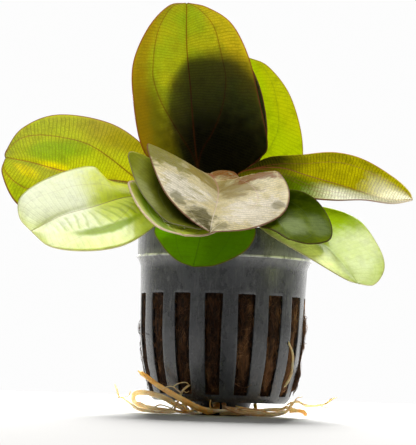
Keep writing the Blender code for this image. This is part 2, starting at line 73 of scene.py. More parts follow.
LEAVES = {
    "leaf_back_tall": dict(
        azimuth=212, height=59.5, arch=0.05,
        midrib=[(-7.5, 4.5, 68), (-9, 5, 75), (-10.5, 7, 85.5), (-12, 9.5, 99.5), (-13.5, 11, 112),
                (-14, 13, 125.5)],
        left=[(-20.7, 3, 74), (-26.1, 2, 80), (-29.1, 4, 94), (-29.5, 6, 105.5), (-25.5, 8.5, 116.5),
              (-19.5, 11, 124)],
        right=[(2.5, 4.5, 72), (10, 4, 77.5), (12, 3.5, 82), (9, 4.5, 95.5), (5.5, 7, 108.5),
               (0, 9.5, 119), (-7.5, 11.5, 124)]),
    "leaf_back_shaded": dict(
        azimuth=180, height=58.0, arch=0.05,
        midrib=[(-3.5, 8, 66), (-3, 10.5, 77), (-2.5, 14, 90), (-2.5, 17, 102.5), (-2.5, 20, 113.5)],
        left=[(-8, 8.5, 69), (-13.5, 9.5, 77), (-18.5, 11, 90.5), (-18.5, 15, 101.5),
              (-12.5, 18, 110.5)],
        right=[(2.5, 9, 69.5), (10, 10.5, 77.5), (12, 10.5, 86), (9.5, 14.5, 100), (4, 18, 110.5)]),
    "leaf_back_right": dict(
        azimuth=148, height=55.8, arch=0.05,
        midrib=[(3.5, 12, 68), (6.5, 16, 78), (8, 19.5, 89), (7.5, 22.5, 101), (5.5, 25, 111)],
        left=[(0.5, 13, 69.5), (-2.5, 15.5, 77.5), (-4, 18.5, 90), (-1.5, 22, 103), (2, 24.5, 110)],
        right=[(11, 12.5, 69), (21.5, 14.5, 73.5), (23, 16, 84), (19, 19.5, 98.5), (12, 23, 108)]),
    "leaf_left_upper": dict(
        azimuth=246, height=58.0, arch=0.06,
        midrib=[(-16.5, 3, 65), (-29, 3.5, 68.5), (-39.5, 3, 69.5), (-50, 2, 71.5), (-59, 0.5, 73.5),
                (-66.5, -1, 74.5)],
        left=[(-18, 1, 62), (-28.5, -3.5, 61), (-40, -8, 56.5), (-52, -8.5, 55.5), (-62, -7, 60.5),
              (-67, -3.5, 69.5)],
        right=[(-17.5, 5, 71), (-27.5, 10.5, 82.5), (-38, 12.5, 88), (-52.5, 12.5, 89.5),
               (-62.5, 8, 84.5), (-66.5, 1.5, 77)]),
    "leaf_left_lower": dict(
        azimuth=268, height=55.5, arch=0.06,
        midrib=[(-17, -2.5, 63), (-28, -8, 63.5), (-39.5, -13, 59.5), (-48, -15.5, 56.5),
                (-56.5, -18, 51.5)],
        left=[(-18, -9.5, 59.5), (-21.5, -18.5, 53.5), (-29.5, -24, 48), (-41, -26, 46),
              (-50.5, -24.5, 47)],
        right=[(-21, -1, 66), (-35, -3.5, 68.5), (-40.5, -2.5, 72.5), (-52, -5, 69),
               (-60.5, -9.5, 62.5), (-60.5, -14.5, 56)]),
    "leaf_front_left_inner": dict(
        azimuth=322, height=59.5, arch=0.04,
        midrib=[(-9, -5, 67), (-12, -14.5, 65), (-12.5, -23, 60.5), (-10.5, -31.5, 56),
                (-6.5, -38.5, 52.5)],
        left=[(-4.5, -8, 67), (1.5, -13, 66), (6, -21, 62.5), (5.5, -30, 57.5), (0, -36, 53.5)],
        right=[(-15, -4, 71.5), (-23.5, -6.5, 75.5), (-29, -10, 76.5), (-28.5, -14.5, 72),
               (-25, -22, 64), (-18, -31, 55.5), (-12.5, -36, 53.5)]),
    "leaf_front_left_outer": dict(
        azimuth=300, height=56.2, arch=0.04,
        midrib=[(-12.5, -7, 62), (-16.5, -15.5, 61), (-18, -24.5, 57), (-16, -32, 53.5),
                (-12, -38.5, 50.5)],
        left=[(-7.5, -9.5, 62.5), (-1, -15.5, 61), (2.5, -23, 59.2), (1.5, -30.5, 55), (-5, -36.5, 51)],
        right=[(-16.5, -8, 65), (-23.5, -10.5, 67.5), (-28.5, -14, 67.5), (-28.5, -18, 65),
               (-25, -25, 58.5), (-19.5, -32, 53)]),
    "leaf_front_curled": dict(
        azimuth=0, height=60.5, arch=0.05,
        midrib=[(-4.5, -1.5, 69.5), (-5, -5, 71), (-3.5, -11, 68.5), (-2.5, -19, 65), (-3, -28, 60),
                (-4, -36, 55.5), (-4.5, -41, 51.5)],
        left=[(-1.5, -1, 73), (2, -2.5, 72.4), (5.5, -5, 69), (10, -9.5, 70), (14.5, -13.5, 72),
              (18, -22, 65.5), (16, -31, 58), (6.5, -38.5, 53)],
        right=[(-9, -0.5, 70.5), (-17, -3, 75.5), (-23.5, -12, 79), (-22.5, -19, 73.5),
               (-18, -28.5, 63.5), (-10.5, -37, 55.5)]),
    "leaf_front_low": dict(
        azimuth=346, height=55.3, arch=0.05,
        midrib=[(-5, -9, 57), (-5.5, -17.5, 58.5), (-6, -25, 56.8), (-7.5, -30, 49.5), (-9, -32, 42)],
        left=[(-1, -10.5, 57), (4, -19, 57.5), (8.5, -28, 53.5), (6, -30.5, 47.5), (-2, -32, 43)],
        right=[(-9.5, -10.5, 57), (-16, -19, 57.5), (-20.5, -26.5, 53), (-18.5, -29.5, 48.5),
               (-14, -31.5, 44)]),
    "leaf_right_folded": dict(
        azimuth=85, height=58.5, arch=0.05,
        midrib=[(2, 1, 69.5), (5, 0.2, 72.5), (10, 0, 74), (17, -1, 74), (24, -1.5, 72), (35, -3, 69),
                (47.5, -4, 65.5), (55.5, -4.5, 65.5)],
        left=[(6, 2, 74), (12.5, 8, 78), (22, 11.5, 79.5), (33, 11.5, 80.5), (42, 9, 78.5), (50, 4, 73),
              (54.5, -1, 68.5)],
        right=[(5.5, -3, 69), (13.5, -9, 66), (21.5, -12, 64.5), (32, -12.5, 64), (40.5, -11.5, 64.5),
               (49, -8.5, 64)]),
    "leaf_right_front": dict(
        azimuth=25, height=57.5, arch=0.05,
        midrib=[(6, -9.5, 63), (10.5, -18, 62), (13.5, -26, 58.5), (16, -33, 54.5), (17.5, -38, 50.5)],
        left=[(10, -8, 64.5), (18.5, -15, 66.5), (25.5, -18.5, 64), (30, -22.5, 57.5),
              (30, -28.5, 51.5), (24, -34, 49.5)],
        right=[(4.5, -13, 61.5), (6.5, -22, 58), (9.5, -30, 54.5), (13, -35, 53)]),
    "leaf_right_low": dict(
        azimuth=52, height=55.3, arch=0.05,
        midrib=[(10.5, -10, 59.5), (19, -19, 57), (29, -25, 49.5), (34.5, -28, 43.5), (38, -30, 39)],
        left=[(16, -6, 62), (28, -7, 62.5), (38.5, -11, 59), (44.5, -18, 50.5), (46, -24.5, 44),
              (43, -28.5, 39)],
        right=[(7, -15, 58.5), (7.5, -22, 57), (11, -27, 53.5), (18, -29.5, 49), (27, -31.5, 44),
               (34.5, -31.5, 40)]),
}

# Leaf looks. glow is the light that comes through, face the light that comes back, as sRGB; each is
# a pair that patches and a drift from stalk to tip mix. vein: the midrib's colour at the stalk and at
# the tip. midrib: half its width in mm and its strength. rim: the margin's width and strength.
# laterals: the side veins' half of the blade (0 for both), place across it (0 midrib, 1 margin), how
# far they turn out near the tip, and strength. stripes: spacing in mm, strength, lean.
# gloss: how shiny the dry and the wet skin is. wet: zones as (across from, to), (along from, to).
# tints: spots of another colour as (across, reach), (along, reach), glow, face, strength, dullness;
# some of them are painted highlights or painted shade, as noted at each leaf.
# fray: how ragged the spots are. valley: the glow and face painted into the folds' valleys, a painted shade.
# through: the light let through.
LOOKS = {
    "leaf_back_tall": dict(
        # Its greyish face colours are partly a painted reflection.
        glow=((194, 184, 46), (168, 184, 44)), face=((58, 56, 38), (56, 62, 42)),
        vein=((84, 44, 18), (124, 74, 28)), midrib=(0.24, 0.85), margin=(150, 84, 50), rim=(0.3, 0.85),
        laterals=((-1, 0.62, 0.20, 0.6), (1, 0.55, 0.12, 0.6)), stripes=(0.8, 0.6, 0.10),
        gloss=(0.0, 0.12), through=0.6,
        tints=(((-0.85, 0.5), (0.30, 0.30), (128, 124, 36), (40, 38, 18), 0.85, 0),
               # This dark spot low on the right half is painted shade, where the leaf behind shades it.
               ((0.35, 1.1), (0.06, 0.42), (60, 58, 18), (14, 13, 8), 0.9, 0.9),
               ((-1.0, 0.3), (0.55, 0.45), (172, 146, 30), (50, 42, 16), 0.6, 0),
               ((1.0, 0.45), (0.78, 0.30), (204, 188, 66), (66, 58, 26), 0.7, 0),
               ((0.0, 0.5), (0.55, 0.2), (194, 196, 46), (56, 60, 36), 0.5, 0))),
    "leaf_back_shaded": dict(
        glow=((112, 118, 30), (106, 118, 32)), face=((50, 58, 14), (46, 60, 16)),
        vein=((96, 60, 30), (112, 70, 34)), midrib=(0.3, 0.75), margin=(140, 84, 60), rim=(0.35, 0.8),
        laterals=((0, 0.55, 0.2, 0.5),), stripes=(0.85, 0.3, 0.12), gloss=(0.0, 0.10), through=0.5,
        tints=(((0.0, 1.2), (0.1, 0.5), (70, 74, 20), (30, 36, 12), 0.8, 0),)),
    "leaf_back_right": dict(
        glow=((182, 190, 24), (178, 190, 28)), face=((64, 80, 12), (60, 80, 14)),
        vein=((120, 130, 30), (140, 148, 36)), midrib=(0.25, 0.6), margin=(160, 124, 50), rim=(0.3, 0.75),
        laterals=((0, 0.55, 0.2, 0.5),), stripes=(1.0, 0.32, 0.15), gloss=(0.0, 0.05), through=0.6,
        tints=(((0.9, 0.5), (0.75, 0.3), (192, 190, 44), (66, 72, 14), 0.6, 0),)),
    "leaf_left_upper": dict(
        glow=((202, 200, 48), (196, 204, 38)), face=((98, 102, 28), (96, 106, 26)),
        vein=((96, 54, 30), (156, 104, 46)), midrib=(0.26, 0.9), margin=(132, 78, 56), rim=(0.35, 0.9),
        laterals=((0, 0.52, 0.34, 0.9),), stripes=(0.85, 0.75, 0.12),
        gloss=(0.0, 0.10), roughness=0.4, through=0.6,
        # The first three tints, bright yellow streaks, are painted light: patches where light comes through
        # gaps onto the blade.
        tints=(((-0.32, 0.16), (0.84, 0.09), (230, 220, 0), (146, 140, 6), 0.9, 0),
               ((0.02, 0.10), (0.71, 0.10), (230, 220, 0), (146, 140, 6), 0.9, 0),
               ((-0.62, 0.12), (0.66, 0.10), (226, 216, 2), (146, 136, 10), 0.7, 0),
               ((0.30, 0.20), (0.72, 0.15), (166, 190, 30), (78, 98, 22), 0.7, 0),
               ((0.40, 0.14), (0.58, 0.10), (160, 184, 30), (76, 94, 22), 0.6, 0),
               ((-0.8, 0.25), (0.74, 0.12), (176, 190, 20), (84, 98, 16), 0.6, 0),
               ((0.85, 0.35), (0.36, 0.22), (186, 174, 50), (88, 86, 28), 0.7, 0))),
    "leaf_left_lower": dict(
        # Its pale face colours are partly a painted highlight, the glare of the light from above.
        glow=((220, 230, 96), (228, 236, 160)), face=((212, 220, 96), (220, 226, 166)),
        vein=((116, 88, 14), (176, 156, 70)), midrib=(0.20, 0.85), margin=(226, 204, 180), rim=(0.2, 0.6),
        laterals=((-1, 0.62, 0.7, 0.25), (1, 0.55, 0.4, 0.2)), stripes=(1.2, 0.12, 0.25),
        gloss=(0.75, 0.95), through=0.35, roughness=0.22, ior=1.75, valley=((176, 200, 10), (150, 172, 8)),
        tints=(((0.25, 0.9), (0.32, 0.22), (240, 246, 40), (228, 236, 26), 0.92, 0.7),
               ((-0.15, 0.5), (0.38, 0.22), (226, 236, 24), (206, 220, 14), 0.85, 0.7),
               ((-0.62, 0.10), (0.52, 0.20), (170, 196, 8), (144, 168, 6), 0.85, 0.8),
               # This pale spot towards the tip is a painted highlight.
               ((0.4, 0.9), (0.85, 0.3), (232, 238, 190), (228, 234, 190), 0.6, 0))),
    "leaf_front_left_inner": dict(
        glow=((168, 174, 40), (156, 162, 34)), face=((140, 144, 36), (128, 134, 30)),
        vein=((118, 122, 60), (128, 130, 80)), midrib=(0.25, 0.5), margin=(158, 148, 112), rim=(0.3, 0.8),
        laterals=((0, 0.55, 0.2, 0.35),), stripes=(1.0, 0.2, 0.2), gloss=(0.0, 0.03), through=0.4,
        tints=(((1.0, 0.2), (0.34, 0.10), (130, 132, 40), (64, 70, 20), 0.95, 1),
               ((0.2, 0.5), (0.55, 0.5), (90, 98, 14), (50, 58, 8), 0.85, 0),
               # This pale spot along the margin is a painted highlight.
               ((0.95, 0.22), (0.60, 0.14), (206, 208, 120), (190, 194, 124), 0.7, 0),
               ((0.9, 0.4), (0.36, 0.16), (182, 188, 50), (160, 166, 50), 0.7, 0))),
    "leaf_front_left_outer": dict(
        glow=((220, 226, 56), (212, 222, 56)), face=((204, 210, 70), (198, 206, 70)),
        vein=((190, 196, 130), (200, 196, 140)), midrib=(0.25, 0.4), margin=(246, 218, 198), rim=(0.8, 0.9),
        laterals=((0, 0.55, 0.2, 0.35),), stripes=(1.0, 0.12, 0.2), gloss=(0.15, 0.4), through=0.45,
        tints=(((0.50, 0.28), (0.6, 0.6), (160, 196, 10), (114, 146, 8), 0.8, 0.8),)),
    "leaf_front_curled": dict(
        # Its pale face colours are partly a painted highlight.
        glow=((204, 188, 92), (196, 182, 84)), face=((238, 220, 160), (232, 216, 154)), wrinkled=True,
        vein=((168, 84, 50), (236, 226, 190)), midrib=(0.24, 0.95), margin=(150, 90, 70), rim=(0.3, 0.85),
        laterals=((-1, 0.55, -0.30, 0.6), (1, 0.62, 0.1, 0.2)), stripes=(0.8, 0.6, 0.3), fray=1.4,
        gloss=(0.14, 0.45), through=0.35, roughness=0.24, valley=((150, 142, 66), (146, 138, 74)),
        tints=(((-0.46, 0.9), (0.10, 0.13), (184, 106, 14), (142, 82, 10), 0.96, 1.0),
               # These two whitish spots are painted highlights.
               ((0.60, 0.45), (0.64, 0.13), (236, 226, 196), (238, 232, 214), 0.7, 0),
               ((-0.60, 0.45), (0.72, 0.16), (236, 224, 196), (238, 228, 208), 0.7, 0),
               ((0.80, 0.60), (0.40, 0.13), (150, 146, 40), (138, 134, 36), 0.95, 0.85),
               ((0.10, 0.45), (0.36, 0.13), (172, 150, 52), (166, 144, 56), 0.9, 0.6),
               ((-0.26, 0.30), (0.46, 0.13), (164, 144, 74), (156, 136, 76), 0.85, 0.7),
               ((-0.62, 0.44), (0.385, 0.045), (156, 92, 46), (138, 82, 44), 0.9, 0.8),
               # These two dark spots towards the tip are painted shade where the blade folds; the three small
               # dark blotches after them are painted shade in its creases.
               ((0.42, 0.58), (0.875, 0.11), (104, 98, 40), (88, 84, 40), 0.95, 0.9),
               ((0.25, 0.45), (0.97, 0.07), (84, 80, 22), (66, 62, 20), 0.95, 0.95),
               ((0.76, 0.16), (0.735, 0.05), (130, 128, 58), (116, 112, 56), 0.75, 0.7),
               ((-0.40, 0.35), (0.92, 0.06), (150, 142, 76), (140, 132, 76), 0.75, 0.7),
               ((-0.88, 0.08), (0.63, 0.03), (130, 118, 56), (112, 104, 56), 0.6, 0.6))),
    "leaf_front_low": dict(
        glow=((196, 240, 14), (190, 236, 16)), face=((120, 172, 12), (122, 174, 12)),
        vein=((104, 146, 40), (110, 150, 44)), midrib=(0.22, 0.6), margin=(136, 112, 44), rim=(0.3, 0.85),
        laterals=((0, 0.55, 0.2, 0.3),), stripes=(1.1, 0.16, 0.25), gloss=(0.0, 0.05), through=0.5,
        tints=(((-0.8, 0.6), (0.6, 0.4), (168, 216, 8), (98, 146, 6), 0.7, 0),)),
    "leaf_right_folded": dict(
        glow=((208, 200, 14), (232, 226, 12)), face=((108, 106, 12), (158, 154, 12)),
        vein=((130, 58, 30), (170, 124, 84)), midrib=(0.3, 0.9), margin=(150, 88, 60), rim=(0.35, 0.9),
        margin_tip=(226, 214, 186),
        laterals=((0, 0.60, 0.1, 0.6), (1, 0.80, 0.1, 0.5)), stripes=(0.85, 0.8, 0.1),
        gloss=(0.0, 1.0), wet=(((0.10, 0.55), (0.46, 0.62)), ((-0.8, -0.2), (0.68, 0.86))),
        through=0.45, ior=1.8,
        # The first tint, dark near the stalk, is a painted shadow of the leaf behind; the last two, pale
        # towards the tip, are painted reflections.
        tints=(((-0.6, 0.9), (0.16, 0.19), (60, 56, 8), (24, 22, 4), 0.94, 0.9),
               ((0.7, 0.5), (0.32, 0.22), (150, 184, 8), (80, 106, 4), 0.9, 1.0),
               ((0.75, 0.55), (0.66, 0.22), (226, 228, 166), (214, 216, 172), 0.8, 0),
               ((0.3, 0.9), (0.98, 0.20), (238, 234, 196), (230, 226, 196), 0.9, 0))),
    "leaf_right_front": dict(
        # Its face runs from very dark to green along the leaf, partly as painted shade.
        glow=((110, 140, 10), (108, 140, 10)), face=((34, 50, 4), (134, 154, 12)),
        vein=((60, 80, 30), (100, 120, 60)), midrib=(0.25, 0.5), margin=(90, 74, 46), rim=(0.35, 0.85),
        laterals=((0, 0.58, 0.2, 0.3),), stripes=(1.1, 0.2, 0.25),
        gloss=(0.0, 0.03), wet=(((-1.4, -1.2), (0.50, 0.66)),), through=0.35,
        # The first tint, dark over the upper part, is painted shade from the leaves above; the other two,
        # pale grey-green, are painted highlights.
        tints=(((0.0, 1.3), (0.30, 0.26), (60, 80, 4), (24, 34, 1), 0.9, 0),
               ((-0.20, 0.40), (0.76, 0.14), (146, 162, 70), (152, 168, 106), 0.7, 0),
               ((-0.75, 0.20), (0.66, 0.10), (130, 150, 60), (132, 150, 84), 0.6, 0))),
    "leaf_right_low": dict(
        # Its paler glow and face towards the tip are partly a painted highlight.
        glow=((196, 214, 30), (216, 226, 140)), face=((160, 174, 16), (206, 212, 140)),
        vein=((150, 186, 70), (170, 190, 100)), midrib=(0.22, 0.6), margin=(190, 180, 130), rim=(0.25, 0.7),
        laterals=((0, 0.60, 0.25, 0.25),), stripes=(1.2, 0.12, 0.25),
        gloss=(0.02, 0.9), wet=(((-1.4, -1.2), (0.48, 0.60)),), through=0.4,
        tints=(((-0.6, 1.3), (0.28, 0.30), (190, 212, 4), (146, 172, 4), 0.95, 1.0),
               # These last two pale tints are painted highlights.
               ((0.85, 0.5), (0.66, 0.26), (244, 250, 168), (236, 244, 164), 0.9, 0),
               ((-0.3, 0.9), (0.95, 0.2), (214, 222, 170), (206, 214, 170), 0.8, 0))),
}

# Roots: radius at the start and the end, and the route of the middle line. They are as in the solids,
# but for the pale loop, which is a little thicker here.
ROOTS = {
    "root_thick_left": dict(radii=(1.05, 0.65), tone="orange", route=[
        (-1, -13.4, 3.4), (-1.2, -15, 1.8), (-3.4, -20, 1.3), (-6, -22, 2), (-8.9, -22.5, 3.3),
        (-12.2, -22, 5), (-15.4, -20.5, 6.7), (-18.7, -18.5, 8.6), (-21.4, -16.5, 10.5),
        (-24.1, -15, 12.2)]),
    "root_pale_loop": dict(radii=(0.9, 0.62), tone="pale", route=[
        (-10.2, -10.4, 3.6), (-10.4, -12, 1.4), (-9.6, -15, 1.1), (-9.8, -18, 1.5), (-13, -18.4, 3),
        (-16, -17, 4.5), (-18.9, -15, 5.4), (-21.9, -13, 6), (-24.3, -12, 5.8), (-25.3, -12, 4.6),
        (-24.7, -13, 3.1), (-22.3, -15, 1.9), (-18.5, -17, 1.1), (-14.8, -18.6, 0.7)]),
    "root_thin_left": dict(radii=(0.4, 0.25), tone="pale", route=[
        (-16.4, -19.4, 0.6), (-20.2, -18.5, 0.8), (-23.1, -17, 1.1), (-25.9, -15, 2.6), (-28, -13, 4),
        (-29.5, -12.5, 4.7), (-30.1, -12, 6.4), (-30.9, -12, 8.2)]),
    "root_lateral_up": dict(radii=(0.4, 0.3), tone="pale", route=[
        (-13.2, -20.6, 0.7), (-12.9, -20.3, 2), (-12.2, -19.9, 3.6), (-11.6, -19.5, 5.2),
        (-10.8, -19.6, 7), (-9.5, -20.2, 8.2), (-8.8, -20.8, 8.6)]),
    "root_pale_right": dict(radii=(0.65, 0.3), tone="pale", route=[
        (1.3, -12.6, 3.5), (1.2, -13.8, 1.4), (0.6, -16.2, 0.8), (1.2, -19.2, 0.8), (6.7, -21, 1),
        (11, -21.5, 0.7), (15.3, -21.5, 0.8), (18.9, -20.3, 1.7), (20.4, -18.9, 3.5),
        (21.6, -17.7, 4.7), (23.3, -16.2, 4.6), (25.3, -15, 3.6), (28.9, -14, 3.9), (31.2, -14, 4.7),
        (32.4, -14, 5.8), (34, -14, 6.4)]),
    "root_brown_front": dict(radii=(0.6, 0.5), tone="brown", route=[
        (1.1, -16, 3.6), (1.5, -17, 2.35), (2.4, -19.6, 2.3), (4, -22.4, 1.95),
        (6.4, -23.4, 1.1), (9, -24, 0.6)]),
    "root_fork_right": dict(radii=(0.5, 0.55), tone="orange", route=[
        (20, -21, 2), (22.2, -21, 2.2), (24, -20.2, 2.1), (25, -19.6, 0.8)]),
    "root_upper_strand": dict(radii=(0.55, 0.35), tone="orange", route=[
        (10.3, -10.8, 3.6), (10.4, -12.2, 2.1), (9.3, -15.5, 1.9), (8.6, -18.4, 1.9),
        (10.4, -19.7, 1.9), (13.9, -19.5, 2.1), (17.4, -18.3, 2.1)]),
}

# Pot. Its base edge is 0.9 mm higher here than in the solid; the rest is as there.
POT_HEIGHT = 54.5
RIM_RADIUS = 26.1
COLLAR_STEP_Z = 46.6
SHOULDER_RADIUS = 24.9
BASE_Z = 3.9
FOOT_RADIUS = 8.0
WALL = 0.9
BODY_OUTLINE = [(24.6, 36.0), (24.3, 23.0), (23.3, 15.0), (21.6, 8.5), (20.8, 5.0), (19.5, BASE_Z)]
SLOTS = 16
SLOT_TURN = radians(-6.5)
SLOT_BOTTOM_Z = 6.0
SLOT_TOP_Z = 35.2
SLOT_WIDTH_BOTTOM = 4.0
SLOT_WIDTH_TOP = 5.2
BASE_SLOTS = 8
BASE_SLOT_WIDTH = 4.8
BASE_SLOT_FROM = 10.8
BASE_SLOT_TO = 18.0

# The rounded bead round the collar's lower edge, which the solid doesn't have: how far in from the rim
# and up from the step.
COLLAR_BEAD = [(0.10, -0.75), (0.02, -0.66), (0.0, -0.52), (0.0, -0.36), (0.05, -0.22), (0.15, -0.10),
               (0.21, 0.04), (0.22, 0.3)]
# The body's widening towards the collar, only here too: how far at most, and between which heights.
FLARE = 0.95
FLARE_FROM = 42.8
FLARE_TO = 46.3


def linear(red, green, blue):
    """An sRGB colour, 0 to 255, as linear light with alpha."""
    shares = [channel / 255 for channel in (red, green, blue)]
    return (*(c / 12.92 if c <= 0.04045 else ((c + 0.055) / 1.055) ** 2.4 for c in shares), 1.0)


class Shader:
    """A material or world and short calls for the nodes that it is made of."""

    def __init__(self, owner, output="ShaderNodeOutputMaterial"):
        self.owner = owner
        self.owner.use_nodes = True
        self.tree = self.owner.node_tree
        self.tree.nodes.clear()
        self.output = self.tree.nodes.new(output)

    def put(self, socket, value):
        if isinstance(value, bpy.types.NodeSocket):
            self.tree.links.new(value, socket)
        else:
            socket.default_value = value

    def node(self, kind, sockets=None, **settings):
        made = self.tree.nodes.new(kind)
        for key, value in settings.items():
            setattr(made, key, value)
        for key, value in (sockets or {}).items():
            self.put(made.inputs[key], value)
        return made

    def math(self, operation, a, b=0.0, clamp=False):
        made = self.node("ShaderNodeMath", {0: a, 1: b}, operation=operation, use_clamp=clamp)
        return made.outputs[0]

    def times(self, a, b):
        return self.math("MULTIPLY", a, b)

    def plus(self, a, b):
        return self.math("ADD", a, b)

    def minus(self, a, b):
        return self.math("SUBTRACT", a, b)

    def most(self, a, b):
        return self.math("MAXIMUM", a, b)

    def step(self, value, low, high):
        """0 below low and 1 above high, smooth between; falling when low is above high."""
        made = self.node("ShaderNodeMapRange", {0: value}, interpolation_type="SMOOTHSTEP")
        if low < high:
            bounds = (low, high, 0.0, 1.0)
        else:
            bounds = (high, low, 1.0, 0.0)
        for index, bound in enumerate(bounds):
            made.inputs[index + 1].default_value = bound
        return made.outputs[0]

    def spread(self, share, at_zero, at_one):
        """A number that goes with a share from one value to another."""
        made = self.node("ShaderNodeMapRange", {0: share, 3: at_zero, 4: at_one})
        return made.outputs[0]

    def mix(self, factor, a, b):
        made = self.node("ShaderNodeMix", data_type="RGBA")
        self.put(made.inputs[0], factor)
        self.put(made.inputs[6], a)
        self.put(made.inputs[7], b)
        return made.outputs[2]

    def place(self):
        return self.node("ShaderNodeTexCoord").outputs["Object"]

    def stretch(self, vector, scale):
        return self.node("ShaderNodeMapping", {"Vector": vector, "Scale": scale}).outputs[0]

    def apart(self, vector):
        """A vector's three numbers."""
        return self.node("ShaderNodeSeparateXYZ", {0: vector}).outputs

    def noise(self, vector, scale, detail=3.0, roughness=0.5, distortion=0.0):
        made = self.node("ShaderNodeTexNoise", {
            "Vector": vector, "Scale": scale, "Detail": detail, "Roughness": roughness,
            "Distortion": distortion})
        return made.outputs["Fac"]

    def edges(self, vector, scale):
        """The distance from the edges of a net of cells."""
        sockets = {"Vector": vector, "Scale": scale}
        return self.node("ShaderNodeTexVoronoi", sockets, feature="DISTANCE_TO_EDGE").outputs["Distance"]

    def bump(self, height, strength, distance):
        sockets = {"Height": height, "Strength": strength, "Distance": distance}
        return self.node("ShaderNodeBump", sockets).outputs[0]

    def skin(self, colour, roughness, normal):
        return self.node("ShaderNodeBsdfPrincipled", {
            "Base Color": colour, "Roughness": roughness, "Normal": normal})

    def finish(self, surface):
        self.tree.links.new(surface, self.output.inputs["Surface"])
        return self.owner

    def lit_through(self, share, skin, colour, normal=None):
        """Ends a material as a skin with a share of light that comes through from behind."""
        sockets = {"Color": colour}
        if normal is not None:
            sockets["Normal"] = normal
        through = self.node("ShaderNodeBsdfTranslucent", sockets)
        both = self.node("ShaderNodeMixShader", {0: share, 1: skin.outputs[0], 2: through.outputs[0]})
        return self.finish(both.outputs[0])


def new_object(name, mesh, material):
    obj = bpy.data.objects.new(name, mesh)
    bpy.context.scene.collection.objects.link(obj)
    mesh.materials.append(material)
    return obj


def mesh_from(name, points, faces):
    """A smooth mesh from points in mm."""
    mesh = bpy.data.meshes.new(name)
    mesh.from_pydata([Vector(point) * MM for point in points], [], faces)
    mesh.validate()
    shape = bmesh.new()
    shape.from_mesh(mesh)
    bmesh.ops.recalc_face_normals(shape, faces=shape.faces)
    shape.to_mesh(mesh)
    shape.free()
    for face in mesh.polygons:
        face.use_smooth = True
    return mesh


def ring_faces(rings, sides, looped=False, capped=False):
    """Faces between rings of points that follow each other, each ring closed on itself."""
    faces = []
    for ring in range(rings if looped else rings - 1):
        low, high = ring * sides, (ring + 1) % rings * sides
        for k in range(sides):
            turn = (k + 1) % sides
            faces.append((low + k, low + turn, high + turn, high + k))
    if capped:
        faces.append(tuple(range(sides)))
        faces.append(tuple(range((rings - 1) * sides, rings * sides)))
    return faces


def joined(parts):
    """Points and faces of several parts as one list of each."""
    points = []
    faces = []
    for part_points, part_faces in parts:
        start = len(points)
        points += part_points
        faces += [tuple(start + i for i in face) for face in part_faces]
    return points, faces


# Short straight steps from each point of a smooth curve to the next.
CURVE_STEPS = 24


def smooth_point(points, position):
    """The point at a position, counted in points, on the Catmull-Rom curve through the points."""
    last = len(points) - 1
    index = min(int(position), last - 1)
    share = position - index
    before = points[index - 1] if index > 0 else 2 * points[0] - points[1]
    start, end = points[index], points[index + 1]
    after = points[index + 2] if index + 2 <= last else 2 * points[last] - points[last - 1]
    return 0.5 * (
        2 * start
        + (end - before) * share
        + (2 * before - 5 * start + 4 * end - after) * share**2
        + (3 * start - before - 3 * end + after) * share**3
    )


def spaced(line, shares):
    """Points at shares of the length of a line of points."""
    reach = [0.0]
    for a, b in zip(line, line[1:]):
        reach.append(reach[-1] + (b - a).length)
    found = []
    index = 0
    for share in shares:
        target = share * reach[-1]
        while index < len(line) - 2 and reach[index + 1] < target:
            index += 1
        part = (target - reach[index]) / (reach[index + 1] - reach[index])
        found.append(line[index].lerp(line[index + 1], part))
    return found


def along(points, shares):
    """Points on the smooth curve through the given ones, at shares of its length."""
    points = [Vector(point) for point in points]
    steps = CURVE_STEPS * (len(points) - 1)
    return spaced([smooth_point(points, i / CURVE_STEPS) for i in range(steps + 1)], shares)


def ramp(low, high, value):
    """0 at low and 1 at high, smooth between; high may lie below low."""
    share = min(max((value - low) / (high - low), 0.0), 1.0)
    return share * share * (3 - 2 * share)


# Leaves

BLADE_STEPS = 96
STALK_STEPS = 14
HALF_STEPS = 24
# A stalk runs straight out from the crown so far, and comes in line with its blade over this share.
STALK_OUT = 1.6
STALK_BEND = 0.3
# The rows crowd a little towards the tip, and the last one stops just short of it.
TIP_CROWDING = 1.12
LAST_ROW = 0.992
EDGE_THICKNESS = 0.30
BLADE_THICKNESS = 0.42
# Over the midrib the upper skin sinks and the lower one stands out.
GROOVE_DEPTH = 0.10
KEEL_DEPTH = 0.34
WAVE_HEIGHT = 0.35
# The maps hold the place along a leaf in this many mm.
RUN_UNIT = 100.0

# Folds of a blade: which half (-1 left, 1 right), where across and along it they lie, how far apart
# they are and how deep, in mm, and how far they lean towards the tip.
FOLDS = {
    "leaf_left_lower": [
        dict(half=-1, across=(0.02, 0.62), along=(0.2, 0.9), spacing=2.2, depth=0.15, lean=0.35),
        dict(half=-1, across=(0.62, 1.0), along=(0.15, 0.8), spacing=2.6, depth=0.06, lean=-0.3),
        dict(half=1, across=(0.1, 0.9), along=(0.1, 0.95), spacing=3.4, depth=0.03, lean=2.4)],
    "leaf_front_curled": [
        dict(half=1, across=(0.10, 0.95), along=(0.50, 1.0), spacing=3.6, depth=0.10, lean=0.3),
        dict(half=1, across=(0.05, 0.95), along=(0.05, 0.6), spacing=1.7, depth=0.05, lean=0.9),
        dict(half=-1, across=(0.05, 0.95), along=(0.05, 0.6), spacing=1.9, depth=0.10, lean=1.1)],
    "leaf_right_folded": [
        dict(half=1, across=(0.05, 0.6), along=(0.1, 0.9), spacing=1.8, depth=0.08, lean=0.3),
        dict(half=-1, across=(0.05, 0.95), along=(0.1, 0.95), spacing=1.8, depth=0.08, lean=0.3)],
    "leaf_left_upper": [
        dict(half=1, across=(0.05, 0.9), along=(0.1, 0.9), spacing=1.9, depth=0.05, lean=0.3),
        dict(half=-1, across=(0.05, 0.9), along=(0.1, 0.9), spacing=1.9, depth=0.05, lean=0.3)],
}


